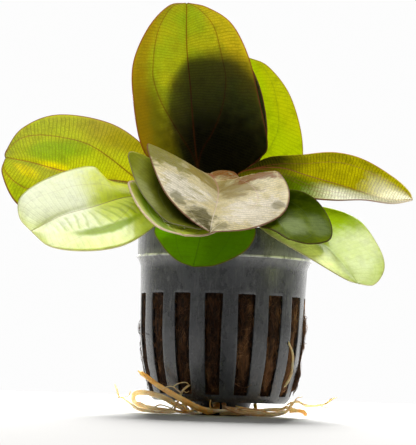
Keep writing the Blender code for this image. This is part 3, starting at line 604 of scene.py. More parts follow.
def stalk_route(leaf):
    """From just off the crown, out and up to where the blade begins."""
    turn = radians(leaf["azimuth"])
    outward = Vector((sin(turn), -cos(turn), 0))
    start = outward * (CROWN_RADIUS + GAP) + Vector((CROWN_X, 0, leaf["height"] - STALK_RADIUS))
    out = start + outward * STALK_OUT
    base = Vector(leaf["midrib"][0])
    ahead = (Vector(leaf["midrib"][1]) - base).normalized()
    return [start, out, base - ahead * (base - out).length * STALK_BEND, base]


def fold_height(name, v, share, run, half_width):
    """How far the folds lift the blade at a place on it, in mm, and how deep in the valley of one."""
    height = 0.0
    valley = 0.0
    for fold in FOLDS.get(name, ()):
        if v * fold["half"] <= 0:
            continue
        s = abs(v)
        low, high = fold["across"]
        first, last = fold["along"]
        inside = ramp(low, low + 0.12, s) * ramp(high, high - 0.14, s)
        inside *= ramp(first, first + 0.12, share) * ramp(last, last - 0.15, share)
        place = run + fold["lean"] * s * half_width
        wander = 0.9 * noise.noise(Vector((place * 0.11, s * 1.7, fold["spacing"])))
        wave = inside * sin(2 * pi * (place / fold["spacing"] + wander))
        height += fold["depth"] * wave
        valley = max(valley, -wave * min(fold["depth"] / 0.2, 1.0))
    return height, valley


def leaf_grid(name, leaf):
    """Rows from the crown to the tip of points, each with what the skin and the material need."""
    across = [k / HALF_STEPS - 1 for k in range(2 * HALF_STEPS + 1)]
    shares = [1 - (1 - i / BLADE_STEPS) ** TIP_CROWDING for i in range(BLADE_STEPS)] + [LAST_ROW]
    base, tip = leaf["midrib"][0], leaf["midrib"][-1]
    middle = along(leaf["midrib"], shares + [1])
    left = along([base, *leaf["left"], tip], shares + [1])
    right = along([base, *leaf["right"], tip], shares + [1])
    seed = sum(ord(letter) for letter in name)

    rows = []
    run = 0.0
    for i, share in enumerate(shares):
        run += (middle[i] - middle[max(i - 1, 0)]).length
        ahead = (middle[i + 1] - middle[max(i - 1, 0)]).normalized()
        at = max(i, 1)
        width = right[at] - left[at]
        side = (width - width.dot(ahead) * ahead).normalized()
        normal = side.cross(ahead)
        blend = min(1.0, share / STALK_BLEND)
        rows.append([])
        for v in across:
            margin = right[i] if v > 0 else left[i]
            reach = (margin - middle[i]).length
            s = abs(v)
            bow = leaf["arch"] * reach * 4 * s * (1 - s)
            wave = WAVE_HEIGHT * noise.noise(Vector((run * 0.09, v * 1.1, seed))) * ramp(0.25, 1.0, s) * blend
            fold, valley = fold_height(name, v, share, run, reach)
            flat = (margin - middle[i]) * s + normal * (bow + wave + fold)
            round_part = side * STALK_RADIUS * sin(STALK_EDGE * v)
            point = middle[i] + flat * blend + round_part * (1 - blend)
            thin = EDGE_THICKNESS + (BLADE_THICKNESS - EDGE_THICKNESS) * (1 - s)
            half_thick = thin / 2 * blend + STALK_RADIUS * cos(STALK_EDGE * v) * (1 - blend)
            rows[-1].append((point, normal, half_thick, run, v, reach, share, valley))

    return stalk_rows(leaf, across, rows[0][-1][0] - rows[0][0][0]) + rows


def stalk_rows(leaf, across, first_side):
    """Rows along the round stalk, which turns to meet the blade's first side."""
    route = stalk_route(leaf)
    outward = route[1] - route[0]
    stalk = along(route, [i / STALK_STEPS for i in range(STALK_STEPS + 1)])
    length = sum((b - a).length for a, b in zip(stalk, stalk[1:]))
    rows = []
    for i in range(STALK_STEPS):
        ahead = (stalk[i + 1] - stalk[i - 1] if i else outward).normalized()
        side = (first_side - first_side.dot(ahead) * ahead).normalized()
        normal = side.cross(ahead)
        behind = -length * (1 - i / STALK_STEPS)
        rows.append([])
        for v in across:
            point = stalk[i] + side * STALK_RADIUS * sin(STALK_EDGE * v)
            thick = STALK_RADIUS * cos(STALK_EDGE * v)
            rows[-1].append((point, normal, thick, behind, v, STALK_RADIUS, 0.0, 0.0))
    return rows


def build_leaf(name, leaf, material):
    """A leaf's closed skin, upper side and lower side, with the maps that its material reads."""
    rows = leaf_grid(name, leaf)
    count = len(rows[0])
    points = []
    maps = {"place": [], "width": [], "fold": []}
    for row in rows:
        for facing, side in ((1.0, row), (-1.0, reversed(row))):
            for point, normal, thick, run, v, width, share, valley in side:
                hollow = GROOVE_DEPTH * ramp(0.09, 0.0, abs(v))
                if facing < 0:
                    hollow = -KEEL_DEPTH * ramp(0.11, 0.0, abs(v)) * (1 - share)
                hollow *= ramp(0.0, 0.1, share)
                points.append(point + normal * (thick - hollow) * facing)
                maps["place"].append((run / RUN_UNIT, v))
                maps["width"].append((width, share))
                maps["fold"].append((valley, share))
    ring = 2 * count
    faces = ring_faces(len(rows), ring)
    for start in (0, (len(rows) - 1) * ring):
        for k in range(count - 1):
            faces.append((start + k, start + k + 1, start + ring - 2 - k, start + ring - 1 - k))
    mesh = mesh_from(name + "_blade", points, faces)
    for map_name, values in maps.items():
        layer = mesh.uv_layers.new(name=map_name)
        for loop in mesh.loops:
            layer.data[loop.index].uv = values[loop.vertex_index]
    obj = new_object(name + "_blade", mesh, material)
    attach(obj, "root")
    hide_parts(name)


def leaf_places(make):
    """Where on a leaf a point is: along and across it, in mm and in shares, and in plain space."""
    at = SimpleNamespace()
    place, width, fold = (make.apart(make.node("ShaderNodeUVMap", uv_map=name).outputs[0])
                          for name in ("place", "width", "fold"))
    at.run = make.times(place[0], RUN_UNIT)
    at.v = place[1]
    at.half_width = width[0]
    at.share = width[1]
    at.fold = fold[0]
    at.s = make.math("ABSOLUTE", at.v)
    at.off_middle = make.times(at.s, at.half_width)
    at.spot = make.place()
    at.ragged = make.noise(at.spot, 420.0, 3.0)
    at.flat = make.node("ShaderNodeCombineXYZ", {
        0: make.times(at.run, 0.9), 1: make.times(at.v, at.half_width), 2: 0.0}).outputs[0]
    return at


def main_veins(make, at, look):
    """The midrib and the side veins, which leave it near the stalk. All thin out towards the tip."""
    slim = make.spread(at.share, 0.75, 1.7)
    half, bold = look["midrib"]
    veins = make.times(make.step(make.times(at.off_middle, slim), half * 1.5, half * 0.6), bold)
    spread_out = make.step(at.share, 0.05, 0.62)
    turn_out = make.step(at.share, 0.60, 1.0)
    wander = make.times(make.noise(at.spot, 90.0, 1.0), 0.03)
    for side, place, turn, strength in look["laterals"]:
        middle = make.plus(make.plus(make.times(spread_out, place), make.times(turn_out, turn)), wander)
        across = make.times(at.v, float(side)) if side else at.s
        away = make.math("ABSOLUTE", make.minus(across, middle))
        away = make.times(make.times(away, at.half_width), slim)
        veins = make.most(veins, make.times(make.step(away, 0.30, 0.10), strength))
    return veins


def fine_veins(make, at, look):
    """The cross veins, like a ladder's rungs, and the net between them."""
    spacing, _, lean = look["stripes"]
    wander = make.times(make.noise(at.spot, 160.0, 2.0), 1.4)
    ladder = make.plus(make.plus(at.run, make.times(at.off_middle, lean)), wander)
    ladder = make.math("PINGPONG", make.math("DIVIDE", ladder, spacing), 0.5)
    rungs = make.times(make.step(ladder, 0.19, 0.05), make.spread(at.ragged, 0.5, 1.3))
    net = make.step(make.edges(at.flat, 1.25), 0.13, 0.02)
    fine = make.most(rungs, make.times(net, 0.5))
    return make.math("MULTIPLY", fine, make.step(at.s, 1.0, 0.9), clamp=True)


def leaf_fray(make, at, look):
    """How far the edge of a spot strays at a place."""
    fray = make.spread(at.ragged, -0.25, 0.25)
    if "fray" in look:
        loose = make.noise(make.stretch(at.flat, (0.42, 0.20, 1.0)), 1.0, 4.0, 0.62, 0.4)
        fray = make.plus(fray, make.spread(loose, -look["fray"], look["fray"]))
    return fray


def leaf_spots(make, at, look, fray):
    """Spots of other colours with ragged edges, some of them painted highlight or shade, painted shade in the
    folds' valleys, and how much gloss they leave.
    """
    spots = []
    shine = 1.0
    for (across, width), (up, height), glow, face, strength, dullness in look["tints"]:
        aside = make.math("DIVIDE", make.minus(at.v, across), width)
        above = make.math("DIVIDE", make.minus(at.share, up), height)
        away = make.math("SQRT", make.plus(make.times(aside, aside), make.times(above, above)))
        inside = make.step(make.plus(away, fray), 1.25, 0.55)
        spots.append((make.times(inside, strength), glow, face))
        if dullness:
            shine = make.times(make.minus(1.0, make.times(inside, dullness)), shine)
    # The folds' valleys get a darker or greener colour: painted shade in the creases.
    if "valley" in look:
        valley = make.times(make.step(make.plus(at.fold, make.times(fray, 0.8)), 0.1, 0.9), 0.6)
        spots.append((valley, *look["valley"]))
        shine = make.times(make.minus(1.0, make.times(valley, 0.8)), shine)
    if "wrinkled" in look:
        broken = make.noise(make.stretch(at.flat, (0.22, 0.12, 1.0)), 1.0, 3.0, 0.6)
        shine = make.times(make.spread(make.step(broken, 0.34, 0.62), 0.45, 1.25), shine)
    return spots, shine


def leaf_colours(make, at, look, veins, fine, spots):
    """The glow and the face: patches and a drift along the leaf, spots, then veins and margin."""
    patches = make.step(make.noise(at.spot, 95.0, 4.0, 0.6), 0.36, 0.66)
    drift = make.math("ADD", make.times(patches, 0.55), make.times(at.share, 0.45), clamp=True)
    mottles = make.times(make.step(make.noise(at.spot, 330.0, 4.0, 0.65), 0.46, 0.68), 0.22)
    specks = make.times(make.step(make.noise(at.spot, 1500.0, 2.0, 0.7), 0.60, 0.75), 0.16)
    vein_colour = make.mix(at.share, *(linear(*colour) for colour in look["vein"]))
    rim_width, rim_strength = look["rim"]
    rim = make.times(make.minus(1.0, at.s), at.half_width)
    rim = make.times(make.step(rim, rim_width * 1.4, rim_width * 0.5), rim_strength)
    margin = linear(*look["margin"])
    if "margin_tip" in look:
        margin = make.mix(make.step(at.share, 0.72, 0.95), margin, linear(*look["margin_tip"]))

    colours = []
    for which, (pair, vein_share) in enumerate(((look["glow"], 0.9), (look["face"], 0.8))):
        dark = tuple(channel * 0.42 for channel in linear(*pair[0])[:3]) + (1.0,)
        colour = make.mix(drift, linear(*pair[0]), linear(*pair[1]))
        for inside, *tints in spots:
            colour = make.mix(inside, colour, linear(*tints[which]))
        colour = make.mix(make.times(fine, look["stripes"][1]), colour, dark)
        colour = make.mix(make.plus(mottles, specks), colour, dark)
        colour = make.mix(make.times(veins, vein_share), colour, vein_colour)
        colours.append(make.mix(rim, colour, margin))
    return colours


def leaf_relief(make, at, look, veins, fine):
    """Grooves over the main veins, a quilted blade between the cross veins, a fine grain, creases."""
    quilt = make.times(fine, -0.35)
    grain = make.times(make.noise(at.spot, 2600.0, 2.0, 0.6), 0.20)
    relief = make.plus(make.minus(quilt, veins), grain)
    if "wrinkled" in look:
        creased = make.noise(make.stretch(at.flat, (0.34, 0.10, 1.0)), 1.0, 3.0, 0.55, 0.6)
        creases = make.step(make.math("ABSOLUTE", make.minus(creased, 0.5)), 0.0, 0.10)
        relief = make.plus(relief, make.times(creases, 2.2))
    return make.bump(relief, 0.5, 0.00012)


def leaf_wetness(make, at, look, fray):
    """Where the skin is wet: in the look's own zones, or else in soft patches."""
    if "wet" not in look:
        return make.step(make.noise(at.spot, 60.0, 2.0), 0.2, 0.5)
    wetness = 0.0
    frayed = make.plus(at.share, make.times(fray, 0.2))
    for across, up in look["wet"]:
        wetness = make.most(make.times(make.step(at.v, *across), make.step(frayed, *up)), wetness)
    return wetness


def leaf_material(name, look):
    """A leaf that lets light through: veins, spots, a coloured margin, glossy where it is wet."""
    make = Shader(bpy.data.materials.new("leaf_" + name))
    at = leaf_places(make)
    veins = main_veins(make, at, look)
    fine = fine_veins(make, at, look)
    fray = leaf_fray(make, at, look)
    spots, shine = leaf_spots(make, at, look, fray)
    glow, face = leaf_colours(make, at, look, veins, fine, spots)
    normal = leaf_relief(make, at, look, veins, fine)
    low_rough = look.get("roughness", 0.24)
    front = make.skin(face, make.spread(at.ragged, low_rough, low_rough + 0.22), normal)
    front.inputs["IOR"].default_value = look.get("ior", 1.5)
    front.inputs["Coat Roughness"].default_value = 0.22
    gloss = make.times(make.spread(leaf_wetness(make, at, look, fray), *look["gloss"]), shine)
    make.put(front.inputs["Specular IOR Level"], gloss)
    make.put(front.inputs["Coat Weight"], gloss)
    return make.lit_through(look["through"], front, glow, normal)


# Tubes: roots and fibres

# A root's end is drawn to a blunt point over this share of its length.
ROOT_TIP = 0.04


def tube_parts(line, radii, sides):
    """Points and faces of a closed tube along a line of points in mm."""
    points = []
    side = (line[1] - line[0]).orthogonal().normalized()
    for i, (place, radius) in enumerate(zip(line, radii)):
        ahead = (line[min(i + 1, len(line) - 1)] - line[max(i - 1, 0)]).normalized()
        side = (side - side.dot(ahead) * ahead).normalized()
        other = ahead.cross(side)
        for k in range(sides):
            turn = 2 * pi * k / sides
            points.append(place + (side * cos(turn) + other * sin(turn)) * radius)
    return points, ring_faces(len(line), sides, capped=True)


def root_line(route, radii, step=0.45, rough=0.10, seed=0.0):
    """A knobbly root: its middle line and its radius at each step."""
    length = sum((Vector(b) - Vector(a)).length for a, b in zip(route, route[1:]))
    count = max(8, round(length / step))
    shares = [i / count for i in range(count + 1)]
    line = along(route, shares)
    sizes = []
    for share, place in zip(shares, line):
        size = radii[0] + (radii[1] - radii[0]) * share
        size *= 1 + rough * noise.noise(place * 0.9 + Vector((seed, 0, 0)))
        size *= 1 + 0.5 * rough * noise.noise(place * 2.7)
        size *= min(1.0, max(0.35, (1 - share) / ROOT_TIP))
        sizes.append(min(size, max(radii)))
    return line, sizes


# Finer roots that branch off a root or lie in the mat with it: radius at both ends and the route.
SIDE_ROOTS = {
    "root_thin_left": [
        ((0.24, 0.14), [(-29.8, -13, 4.3), (-28.1, -13.4, 4.5), (-26.6, -13.8, 4.9),
            (-26.1, -13.9, 6.4)]),
        ((0.45, 0.25), [(-25.1, -15, 1.8), (-23, -17, 0.9), (-19.9, -19, 0.6), (-16.9, -20, 0.5),
            (-13.6, -21.5, 0.6), (-11, -22, 1.2)])],
    "root_lateral_up": [
        ((0.24, 0.14), [(-11.2, -19.6, 6.2), (-12.6, -20.3, 7.2), (-13.8, -20.9, 8), (-15.3, -20.8, 7.9),
            (-16.8, -20.8, 7.2)]),
        ((0.2, 0.12), [(-13.5, -20.9, 8.1), (-12, -21, 9), (-10, -21, 9.3), (-9, -20.6, 8.5)]),
        ((0.18, 0.1), [(-10.8, -19.6, 7), (-9.8, -20.4, 6.4), (-9, -20.6, 6.9)])],
    "root_thick_left": [
        ((0.24, 0.14), [(-2.7, -21.5, 2), (-2.9, -22, 3.4), (-2.7, -22.2, 4.6)]),
        ((0.28, 0.16), [(-6.5, -22.4, 2), (-8.6, -23.2, 1.2), (-11.2, -22.8, 1.6), (-13.4, -21.8, 3),
            (-14.2, -21.2, 3.6)]),
        ((0.3, 0.22), [(-12.5, -21, 1.2), (-11, -22.5, 0.6), (-9.8, -23, 1.3), (-10.3, -23, 2.2),
            (-11.8, -22, 3.1)])],
    "root_pale_loop": [
        ((0.55, 0.4), [(-23.9, -14, 3), (-21.6, -16, 2.1), (-18.5, -18, 1.5), (-15.5, -19.5, 1.2),
            (-12.5, -21, 0.9), (-8.8, -22.5, 0.7), (-5.1, -23, 0.7)]),
        ((0.26, 0.16), [(-19.5, -16.8, 1.4), (-17.4, -19.4, 2.6), (-14.6, -20.6, 2), (-12.4, -21.4, 1)]),
        ((0.22, 0.14), [(-13, -18.9, 3), (-14, -20, 1.8), (-16.2, -20.2, 1), (-18.4, -19.6, 0.5)])],
    "root_pale_right": [
        ((0.6, 0.45), [(-2, -18.6, 1.3), (1.3, -20.4, 1.4), (5, -22, 1.2), (10.5, -22.5, 1),
            (14.3, -22, 0.7), (17.3, -21, 1.1), (18.8, -19.4, 2.2)]),
        ((0.5, 0.42), [(2, -16.5, 2.2), (6.8, -19.6, 2.2), (11.3, -20.8, 2), (15, -20.4, 2.4),
            (18, -19.6, 2.6), (19.5, -18.6, 3.6)]),
        ((0.34, 0.26), [(4.2, -21.6, 2.3), (7.9, -22.4, 1.8), (11.6, -22.4, 1.5), (15.7, -21.8, 1.4),
            (18.6, -20, 2.2)]),
        ((0.3, 0.16), [(19.5, -17.5, 3.9), (21.4, -17, 4.7), (24.1, -16, 4.2), (26.4, -15, 3.9),
            (29.4, -14.5, 4.2), (31.6, -14, 4.8), (32.7, -14, 5.8)]),
        ((0.48, 0.4), [(19, -18.6, 3), (20.2, -19.2, 2.9), (22.5, -20.2, 2.2), (24.7, -20, 1.5)]),
        ((0.2, 0.12), [(28.9, -14, 4.1), (30.6, -14.4, 3.4), (32.6, -14.4, 3.6)]),
        ((0.2, 0.12), [(21.6, -17.7, 5), (22.4, -17.2, 5.9), (23.9, -16.6, 6.3)])],
    "root_brown_front": [
        ((0.24, 0.14), [(4, -22.6, 1.9), (6.6, -23.8, 2.4), (10.4, -23.6, 2.2), (13.8, -22.8, 1.5)]),
        ((0.4, 0.3), [(1.4, -19.4, 2.8), (2.7, -22.2, 1.9), (5.7, -23.6, 1), (9.8, -23.9, 0.6),
            (13, -23.4, 0.6)])],
    "root_upper_strand": [
        ((0.24, 0.12), [(8.7, -18.6, 2), (6.6, -19.6, 2.6), (4.4, -20.4, 3)])],
}
# A pale rootlet that has grown down inside a slot on the right.
SLOT_ROOT = ((0.26, 0.44), [
    (18.9, -14.2, 23), (19.6, -14.4, 21.6), (20.8, -12.2, 18.8), (20.9, -11, 15), (20.2, -10.6, 11.6),
    (18.6, -11.6, 8.9)])


def build_roots(materials):
    for order, (name, root) in enumerate(ROOTS.items()):
        parts = [tube_parts(*root_line(root["route"], root["radii"], seed=order), sides=14)]
        for radii, route in SIDE_ROOTS.get(name, ()):
            parts.append(tube_parts(*root_line(route, radii, step=0.35, rough=0.2, seed=order), sides=7))
        mesh = mesh_from(name + "_skin", *joined(parts))
        obj = new_object(name + "_skin", mesh, materials[root["tone"]])
        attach(obj, "root")
        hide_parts(name)
    radii, route = SLOT_ROOT
    tube = tube_parts(*root_line(route, radii, rough=0.2), sides=10)
    obj = new_object("slot_rootlet", mesh_from("slot_rootlet", *tube), materials["pale"])
    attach(obj, "root")


# Each tone's light, warm and dark colour.
ROOT_TONES = {
    "pale": ((250, 240, 212), (236, 212, 160), (196, 150, 90)),
    "orange": ((254, 230, 164), (248, 198, 104), (206, 140, 56)),
    "brown": ((232, 198, 148), (206, 160, 104), (158, 112, 66)),
}
# The share of the light that comes through a root.
ROOT_THROUGH = 0.5


def root_material(tone):
    """A root: blotches of a warmer tone, brown stains, fine streaks, light through it."""
    light, warm, dark = (linear(*colour) for colour in ROOT_TONES[tone])
    make = Shader(bpy.data.materials.new("root_" + tone))
    spot = make.place()
    patches = make.step(make.noise(spot, 240.0, 4.0, 0.6), 0.38, 0.68)
    stains = make.step(make.noise(spot, 520.0, 3.0, 0.7), 0.58, 0.76)
    streaks = make.noise(spot, 1900.0, 3.0, 0.65)
    colour = make.mix(patches, light, warm)
    colour = make.mix(make.times(stains, 0.6), colour, dark)
    colour = make.mix(make.times(make.step(streaks, 0.55, 0.75), 0.3), colour, dark)
    relief = make.plus(make.times(streaks, 0.6), make.noise(spot, 700.0, 2.0))
    normal = make.bump(relief, 0.55, 0.00018)
    skin = make.skin(colour, 0.5, normal)
    skin.inputs["Subsurface Weight"].default_value = 0.4
    skin.inputs["Subsurface Radius"].default_value = (1.0, 0.6, 0.3)
    skin.inputs["Subsurface Scale"].default_value = 0.0008
    return make.lit_through(ROOT_THROUGH, skin, colour, normal)


# Pot

# The wall's columns of faces: so many across each slot, and so many across each rib beside it.
SLOT_COLUMNS = 6
RIB_COLUMNS = 8
SLOT_LEVELS = 18
# Heights of the rings below the slots, above them and on the collar.
FOOT_RINGS = (BASE_Z, 4.02, 4.25, 4.6, 5.1)
SHOULDER_RINGS = (36.2, 37.6, 39.6, 41.6, 42.8, 43.6, 44.3, 44.9, 45.3, 45.6, 45.75)
COLLAR_RINGS = (49.2, 51, 52.6, 53.7)
# The rounded rim: how far in from the rim's radius and down from the pot's top.
RIM_ROUNDING = ((0.25, 0.35), (0.32, 0.10), (0.45, 0), (0.7, 0.05), (WALL, 0.3))
CORNER_EASE = 1.6
EDGE_EASE = 0.14
FLOOR_SIDES = 128
FLOOR_THICKNESS = 1.0


def wall_radius(z):
    """The body's outside at a height, with plain corners."""
    for (high_radius, high_z), (low_radius, low_z) in zip(BODY_OUTLINE, BODY_OUTLINE[1:]):
        if z >= low_z:
            return low_radius + (high_radius - low_radius) * min((z - low_z) / (high_z - low_z), 1.0)
    return BODY_OUTLINE[-1][0]


def outer_radius(z):
    """The pot's outside at a height under the collar, with the body's corners eased."""
    top_radius, top_z = BODY_OUTLINE[0]
    if z >= top_z:
        return top_radius + (SHOULDER_RADIUS - top_radius) * (z - top_z) / (COLLAR_STEP_Z - top_z)
    reach = min(CORNER_EASE, max(z - BASE_Z, 0.01))
    return min(wall_radius(z), (wall_radius(z - reach) + 2 * wall_radius(z) + wall_radius(z + reach)) / 4)


def flare(z):
    """How far the body widens towards the collar, in mm."""
    return FLARE * ramp(FLARE_FROM, FLARE_TO, z) ** 1.5


def slot_width(z):
    share = (z - SLOT_BOTTOM_Z) / (SLOT_TOP_Z - SLOT_BOTTOM_Z)
    return SLOT_WIDTH_BOTTOM + (SLOT_WIDTH_TOP - SLOT_WIDTH_BOTTOM) * min(max(share, 0.0), 1.0)


def around(angle, radius, side, z):
    """A point in mm at a distance out from the axis and to the side of that line; angle 0 is -Y."""
    x = radius * sin(angle) + side * cos(angle)
    y = -radius * cos(angle) + side * sin(angle)
    return Vector((x, y, z))


def wall_rings():
    """Radius and height of each ring: up the outside, over the rim and down the inside."""
    rise = (SLOT_TOP_Z - SLOT_BOTTOM_Z) / SLOT_LEVELS
    slot_rings = [SLOT_BOTTOM_Z + rise * level for level in range(SLOT_LEVELS + 1)]
    heights = [*FOOT_RINGS, *slot_rings, *SHOULDER_RINGS]
    rings = [(outer_radius(z) + flare(z), z) for z in heights]
    rings += [(RIM_RADIUS - inward, COLLAR_STEP_Z + up) for inward, up in COLLAR_BEAD]
    rings += [(RIM_RADIUS - COLLAR_BEAD[-1][0], z) for z in COLLAR_RINGS]
    rings += [(RIM_RADIUS - inward, POT_HEIGHT - down) for inward, down in RIM_ROUNDING]
    rings += [(RIM_RADIUS - WALL, COLLAR_STEP_Z + 0.9), (SHOULDER_RADIUS - WALL, COLLAR_STEP_Z - 0.3)]
    rings += [(outer_radius(z) - WALL, z) for z in reversed(heights[1:-3])]
    rings.append((outer_radius(BASE_Z) - WALL, BASE_Z))
    return rings


def wall_spot(radius, z, slot, column):
    """A point of the wall: the first columns cross a slot and the others the rib after it."""
    centre = SLOT_TURN + 2 * pi * slot / SLOTS
    half = asin(slot_width(z) / 2 / radius)
    if column < SLOT_COLUMNS:
        return around(centre + half * (2 * column / SLOT_COLUMNS - 1), radius, 0, z)
    rib = 2 * pi / SLOTS - 2 * half
    return around(centre + half + rib * (column - SLOT_COLUMNS) / RIB_COLUMNS, radius, 0, z)


def pot_wall():
    """The collar and the slotted wall as one closed skin, its columns following the slots' sides."""
    rings = wall_rings()
    period = SLOT_COLUMNS + RIB_COLUMNS
    total = SLOTS * period
    points = [wall_spot(*ring, slot, column)
              for ring in rings for slot in range(SLOTS) for column in range(period)]
    last = len(rings) - 1
    first = len(FOOT_RINGS)
    top = first + SLOT_LEVELS
    open_rings = {*range(first, top), *range(last - top, last - first)}
    faces = []
    for i, face in enumerate(ring_faces(len(rings), total, looped=True)):
        ring, column = divmod(i, total)
        if ring not in open_rings or column % period >= SLOT_COLUMNS:
            faces.append(face)

    def through(*corners):
        """A face through the wall, on the edge between two corners, each a ring and a column."""
        outer = [ring * total + column for ring, column in corners]
        inner = [(last - ring) * total + column for ring, column in reversed(corners)]
        faces.append((*outer, *inner))

    for start in range(0, total, period):
        for ring in range(first, top):
            through((ring, start), (ring + 1, start))
            through((ring, start + SLOT_COLUMNS), (ring + 1, start + SLOT_COLUMNS))
        for column in range(start, start + SLOT_COLUMNS):
            through((first, column), (first, column + 1))
            through((top, column), (top, column + 1))
    return points, faces


def pot_floor():
    """The floor and the foot, turned as one, before the drain slots are cut."""
    join_radius = BODY_OUTLINE[-1][0] - 0.12
    outline = [
        (join_radius, BASE_Z + 0.02), (FOOT_RADIUS + 1.5, BASE_Z + 0.02), (FOOT_RADIUS + 0.15, 0.25),
        (FOOT_RADIUS - 0.1, 0), (0.02, 0), (0.02, 1.2), (FOOT_RADIUS - 0.6, 1.2),
        (FOOT_RADIUS + 0.9, BASE_Z + FLOOR_THICKNESS), (join_radius, BASE_Z + FLOOR_THICKNESS)]
    points = [around(2 * pi * k / FLOOR_SIDES, radius, 0, z)
              for radius, z in outline for k in range(FLOOR_SIDES)]
    return points, ring_faces(len(outline), FLOOR_SIDES, looped=True)


def drain_slot(angle):
    """The block that cuts one drain slot."""
    half = BASE_SLOT_WIDTH / 2
    points = [around(angle, radius, side, z) for z in (BASE_Z - 1, BASE_Z + 1.8)
              for radius, side in ((BASE_SLOT_FROM, -half), (BASE_SLOT_TO, -half), (BASE_SLOT_TO, half),
                                   (BASE_SLOT_FROM, half))]
    return points, ring_faces(2, 4, capped=True)


def apply_modifiers(obj):
    """Makes the object's modifiers real."""
    graph = bpy.context.evaluated_depsgraph_get()
    mesh = bpy.data.meshes.new_from_object(obj.evaluated_get(graph))
    old = obj.data
    obj.modifiers.clear()
    obj.data = mesh
    bpy.data.meshes.remove(old)


def build_pot(material):
    wall = new_object("net_pot", mesh_from("net_pot", *pot_wall()), material)
    bevel = wall.modifiers.new("eased edges", "BEVEL")
    bevel.width = EDGE_EASE * MM
    bevel.segments = 2
    bevel.limit_method = "ANGLE"
    bevel.angle_limit = radians(55)
    apply_modifiers(wall)

    base = new_object("net_pot_floor", mesh_from("net_pot_floor", *pot_floor()), material)
    slots = joined(drain_slot(2 * pi * i / BASE_SLOTS) for i in range(BASE_SLOTS))
    cutter = new_object("cutter", mesh_from("cutter", *slots), material)
    boolean = base.modifiers.new("drain slots", "BOOLEAN")
    boolean.object = cutter
    boolean.solver = "EXACT"
    apply_modifiers(base)
    bpy.data.objects.remove(cutter, do_unlink=True)

    shape = bmesh.new()
    shape.from_mesh(wall.data)
    shape.from_mesh(base.data)
    shape.to_mesh(wall.data)
    shape.free()
    bpy.data.objects.remove(base, do_unlink=True)
    for face in wall.data.polygons:
        face.use_smooth = True
    wall.data.set_sharp_from_angle(angle=radians(38))
    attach(wall, "root")
    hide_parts("pot")


def pot_material():
    """Satin dark plastic: mould texture, upright scuffs, dried water marks, a painted highlight along the
    collar's bead, dust.
    """
    make = Shader(bpy.data.materials.new("pot_plastic"))
    spot = make.place()
    height = make.apart(spot)[2]
    upright = make.stretch(spot, (1.0, 1.0, 0.16))
    level = make.stretch(spot, (1.0, 1.0, 3.2))
    clouds = make.noise(make.stretch(spot, (1.0, 1.0, 0.55)), 120.0, 5.0, 0.6)
    marks = make.step(clouds, 0.45, 0.62)
    blotches = make.step(make.noise(spot, 260.0, 4.0, 0.65), 0.52, 0.68)
    layers = (
        (marks, 0.7, (70, 72, 76)),
        (make.step(make.noise(spot, 2200.0, 3.0, 0.65), 0.36, 0.66), 0.5, (76, 78, 82)),
        (make.step(make.noise(upright, 1400.0, 4.0, 0.7), 0.50, 0.70), 0.34, (118, 118, 118)),
        (blotches, 0.55, (30, 31, 33)),
        (make.step(make.noise(level, 330.0, 4.0, 0.72), 0.62, 0.72), 0.22, (112, 113, 114)),
        (make.step(make.noise(spot, 2600.0, 2.0, 0.5), 0.70, 0.78), 0.35, (150, 146, 138)))
    colour = linear(38, 39, 42)
    for inside, strength, tint in layers:
        colour = make.mix(make.times(inside, strength), colour, linear(*tint))
    # A painted highlight: a bright line along the collar's bead and a faint sheen band round it.
    bead = make.times(make.step(height, 0.0458, 0.0461), make.step(height, 0.0468, 0.0464))
    painted_sheen_band = make.times(make.step(height, 0.0434, 0.0460), make.step(height, 0.0494, 0.0466))
    broken = make.step(make.noise(spot, 300.0, 4.0, 0.7), 0.30, 0.58)
    painted_bead_highlight = make.times(make.most(make.times(bead, 0.95), make.times(painted_sheen_band, 0.14)), broken)
    colour = make.mix(painted_bead_highlight, colour, linear(214, 214, 212))
    rough = make.plus(make.plus(make.times(marks, 0.14), make.times(blotches, -0.06)), 0.26)
    drawn = make.times(make.noise(upright, 500.0, 3.0, 0.6), 1.4)
    relief = make.plus(make.noise(spot, 3200.0, 2.0, 0.6), drawn)
    skin = make.skin(colour, rough, make.bump(relief, 0.3, 0.00012))
    skin.inputs["IOR"].default_value = 1.55
    return make.finish(skin.outputs[0])


# Growing medium

PLUG_SIDES = 384
PLUG_LEVELS = 110
# How far the fibre stays behind the wall's outside in a slot, and how far inside the slot's side.
SLOT_DEPTH = 0.45
SLOT_MARGIN = 0.15
SLOT_FIBRES = 3300
SHORTEST_FIBRE = 0.6
TOP_FIBRES = 1500
TOP_REACH = 24.4
FIBRE_STEPS = 6

# Where the fibre stands proud of the wall: azimuth in degrees, height and reach in mm, how far out.
BULGES = [(83.5, 9, 9, 1.4), (83.5, 24, 9, 0.8), (83.5, 16, 8, 0.4), (61, 12, 10, 0.4),
          (-96.5, 12, 9, 0.6), (-96.5, 21, 8, 0.5), (-74, 12, 8, 0.4)]

# Coarse single strands that can be told apart: radius at both ends and the route.
STRANDS = [
    ((0.22, 0.12), [(-23.6, -5.1, 34.8), (-22.8, -8.2, 32.2), (-22.4, -9.2, 29.3), (-22.9, -7.8, 26.7),
                    (-23.4, -5.7, 23.7)]),
    ((0.16, 0.12), [(-24.6, -3.4, 23.6), (-23.9, -7.9, 23.1), (-22.9, -10.4, 22.8)]),
    ((0.12, 0.08), [(-16.4, -18, 29.4), (-15.5, -18.6, 29.3), (-14.6, -19.1, 30), (-14.4, -19.3, 31.4)]),
    ((0.14, 0.08), [(4, -21.4, 9.6), (5.6, -21.3, 8.6), (7.4, -20.7, 8.4), (9, -20.2, 9.4)]),
    ((0.14, 0.08), [(12.6, -20.6, 28), (12.9, -20.5, 24), (13.2, -20.2, 20)]),
]


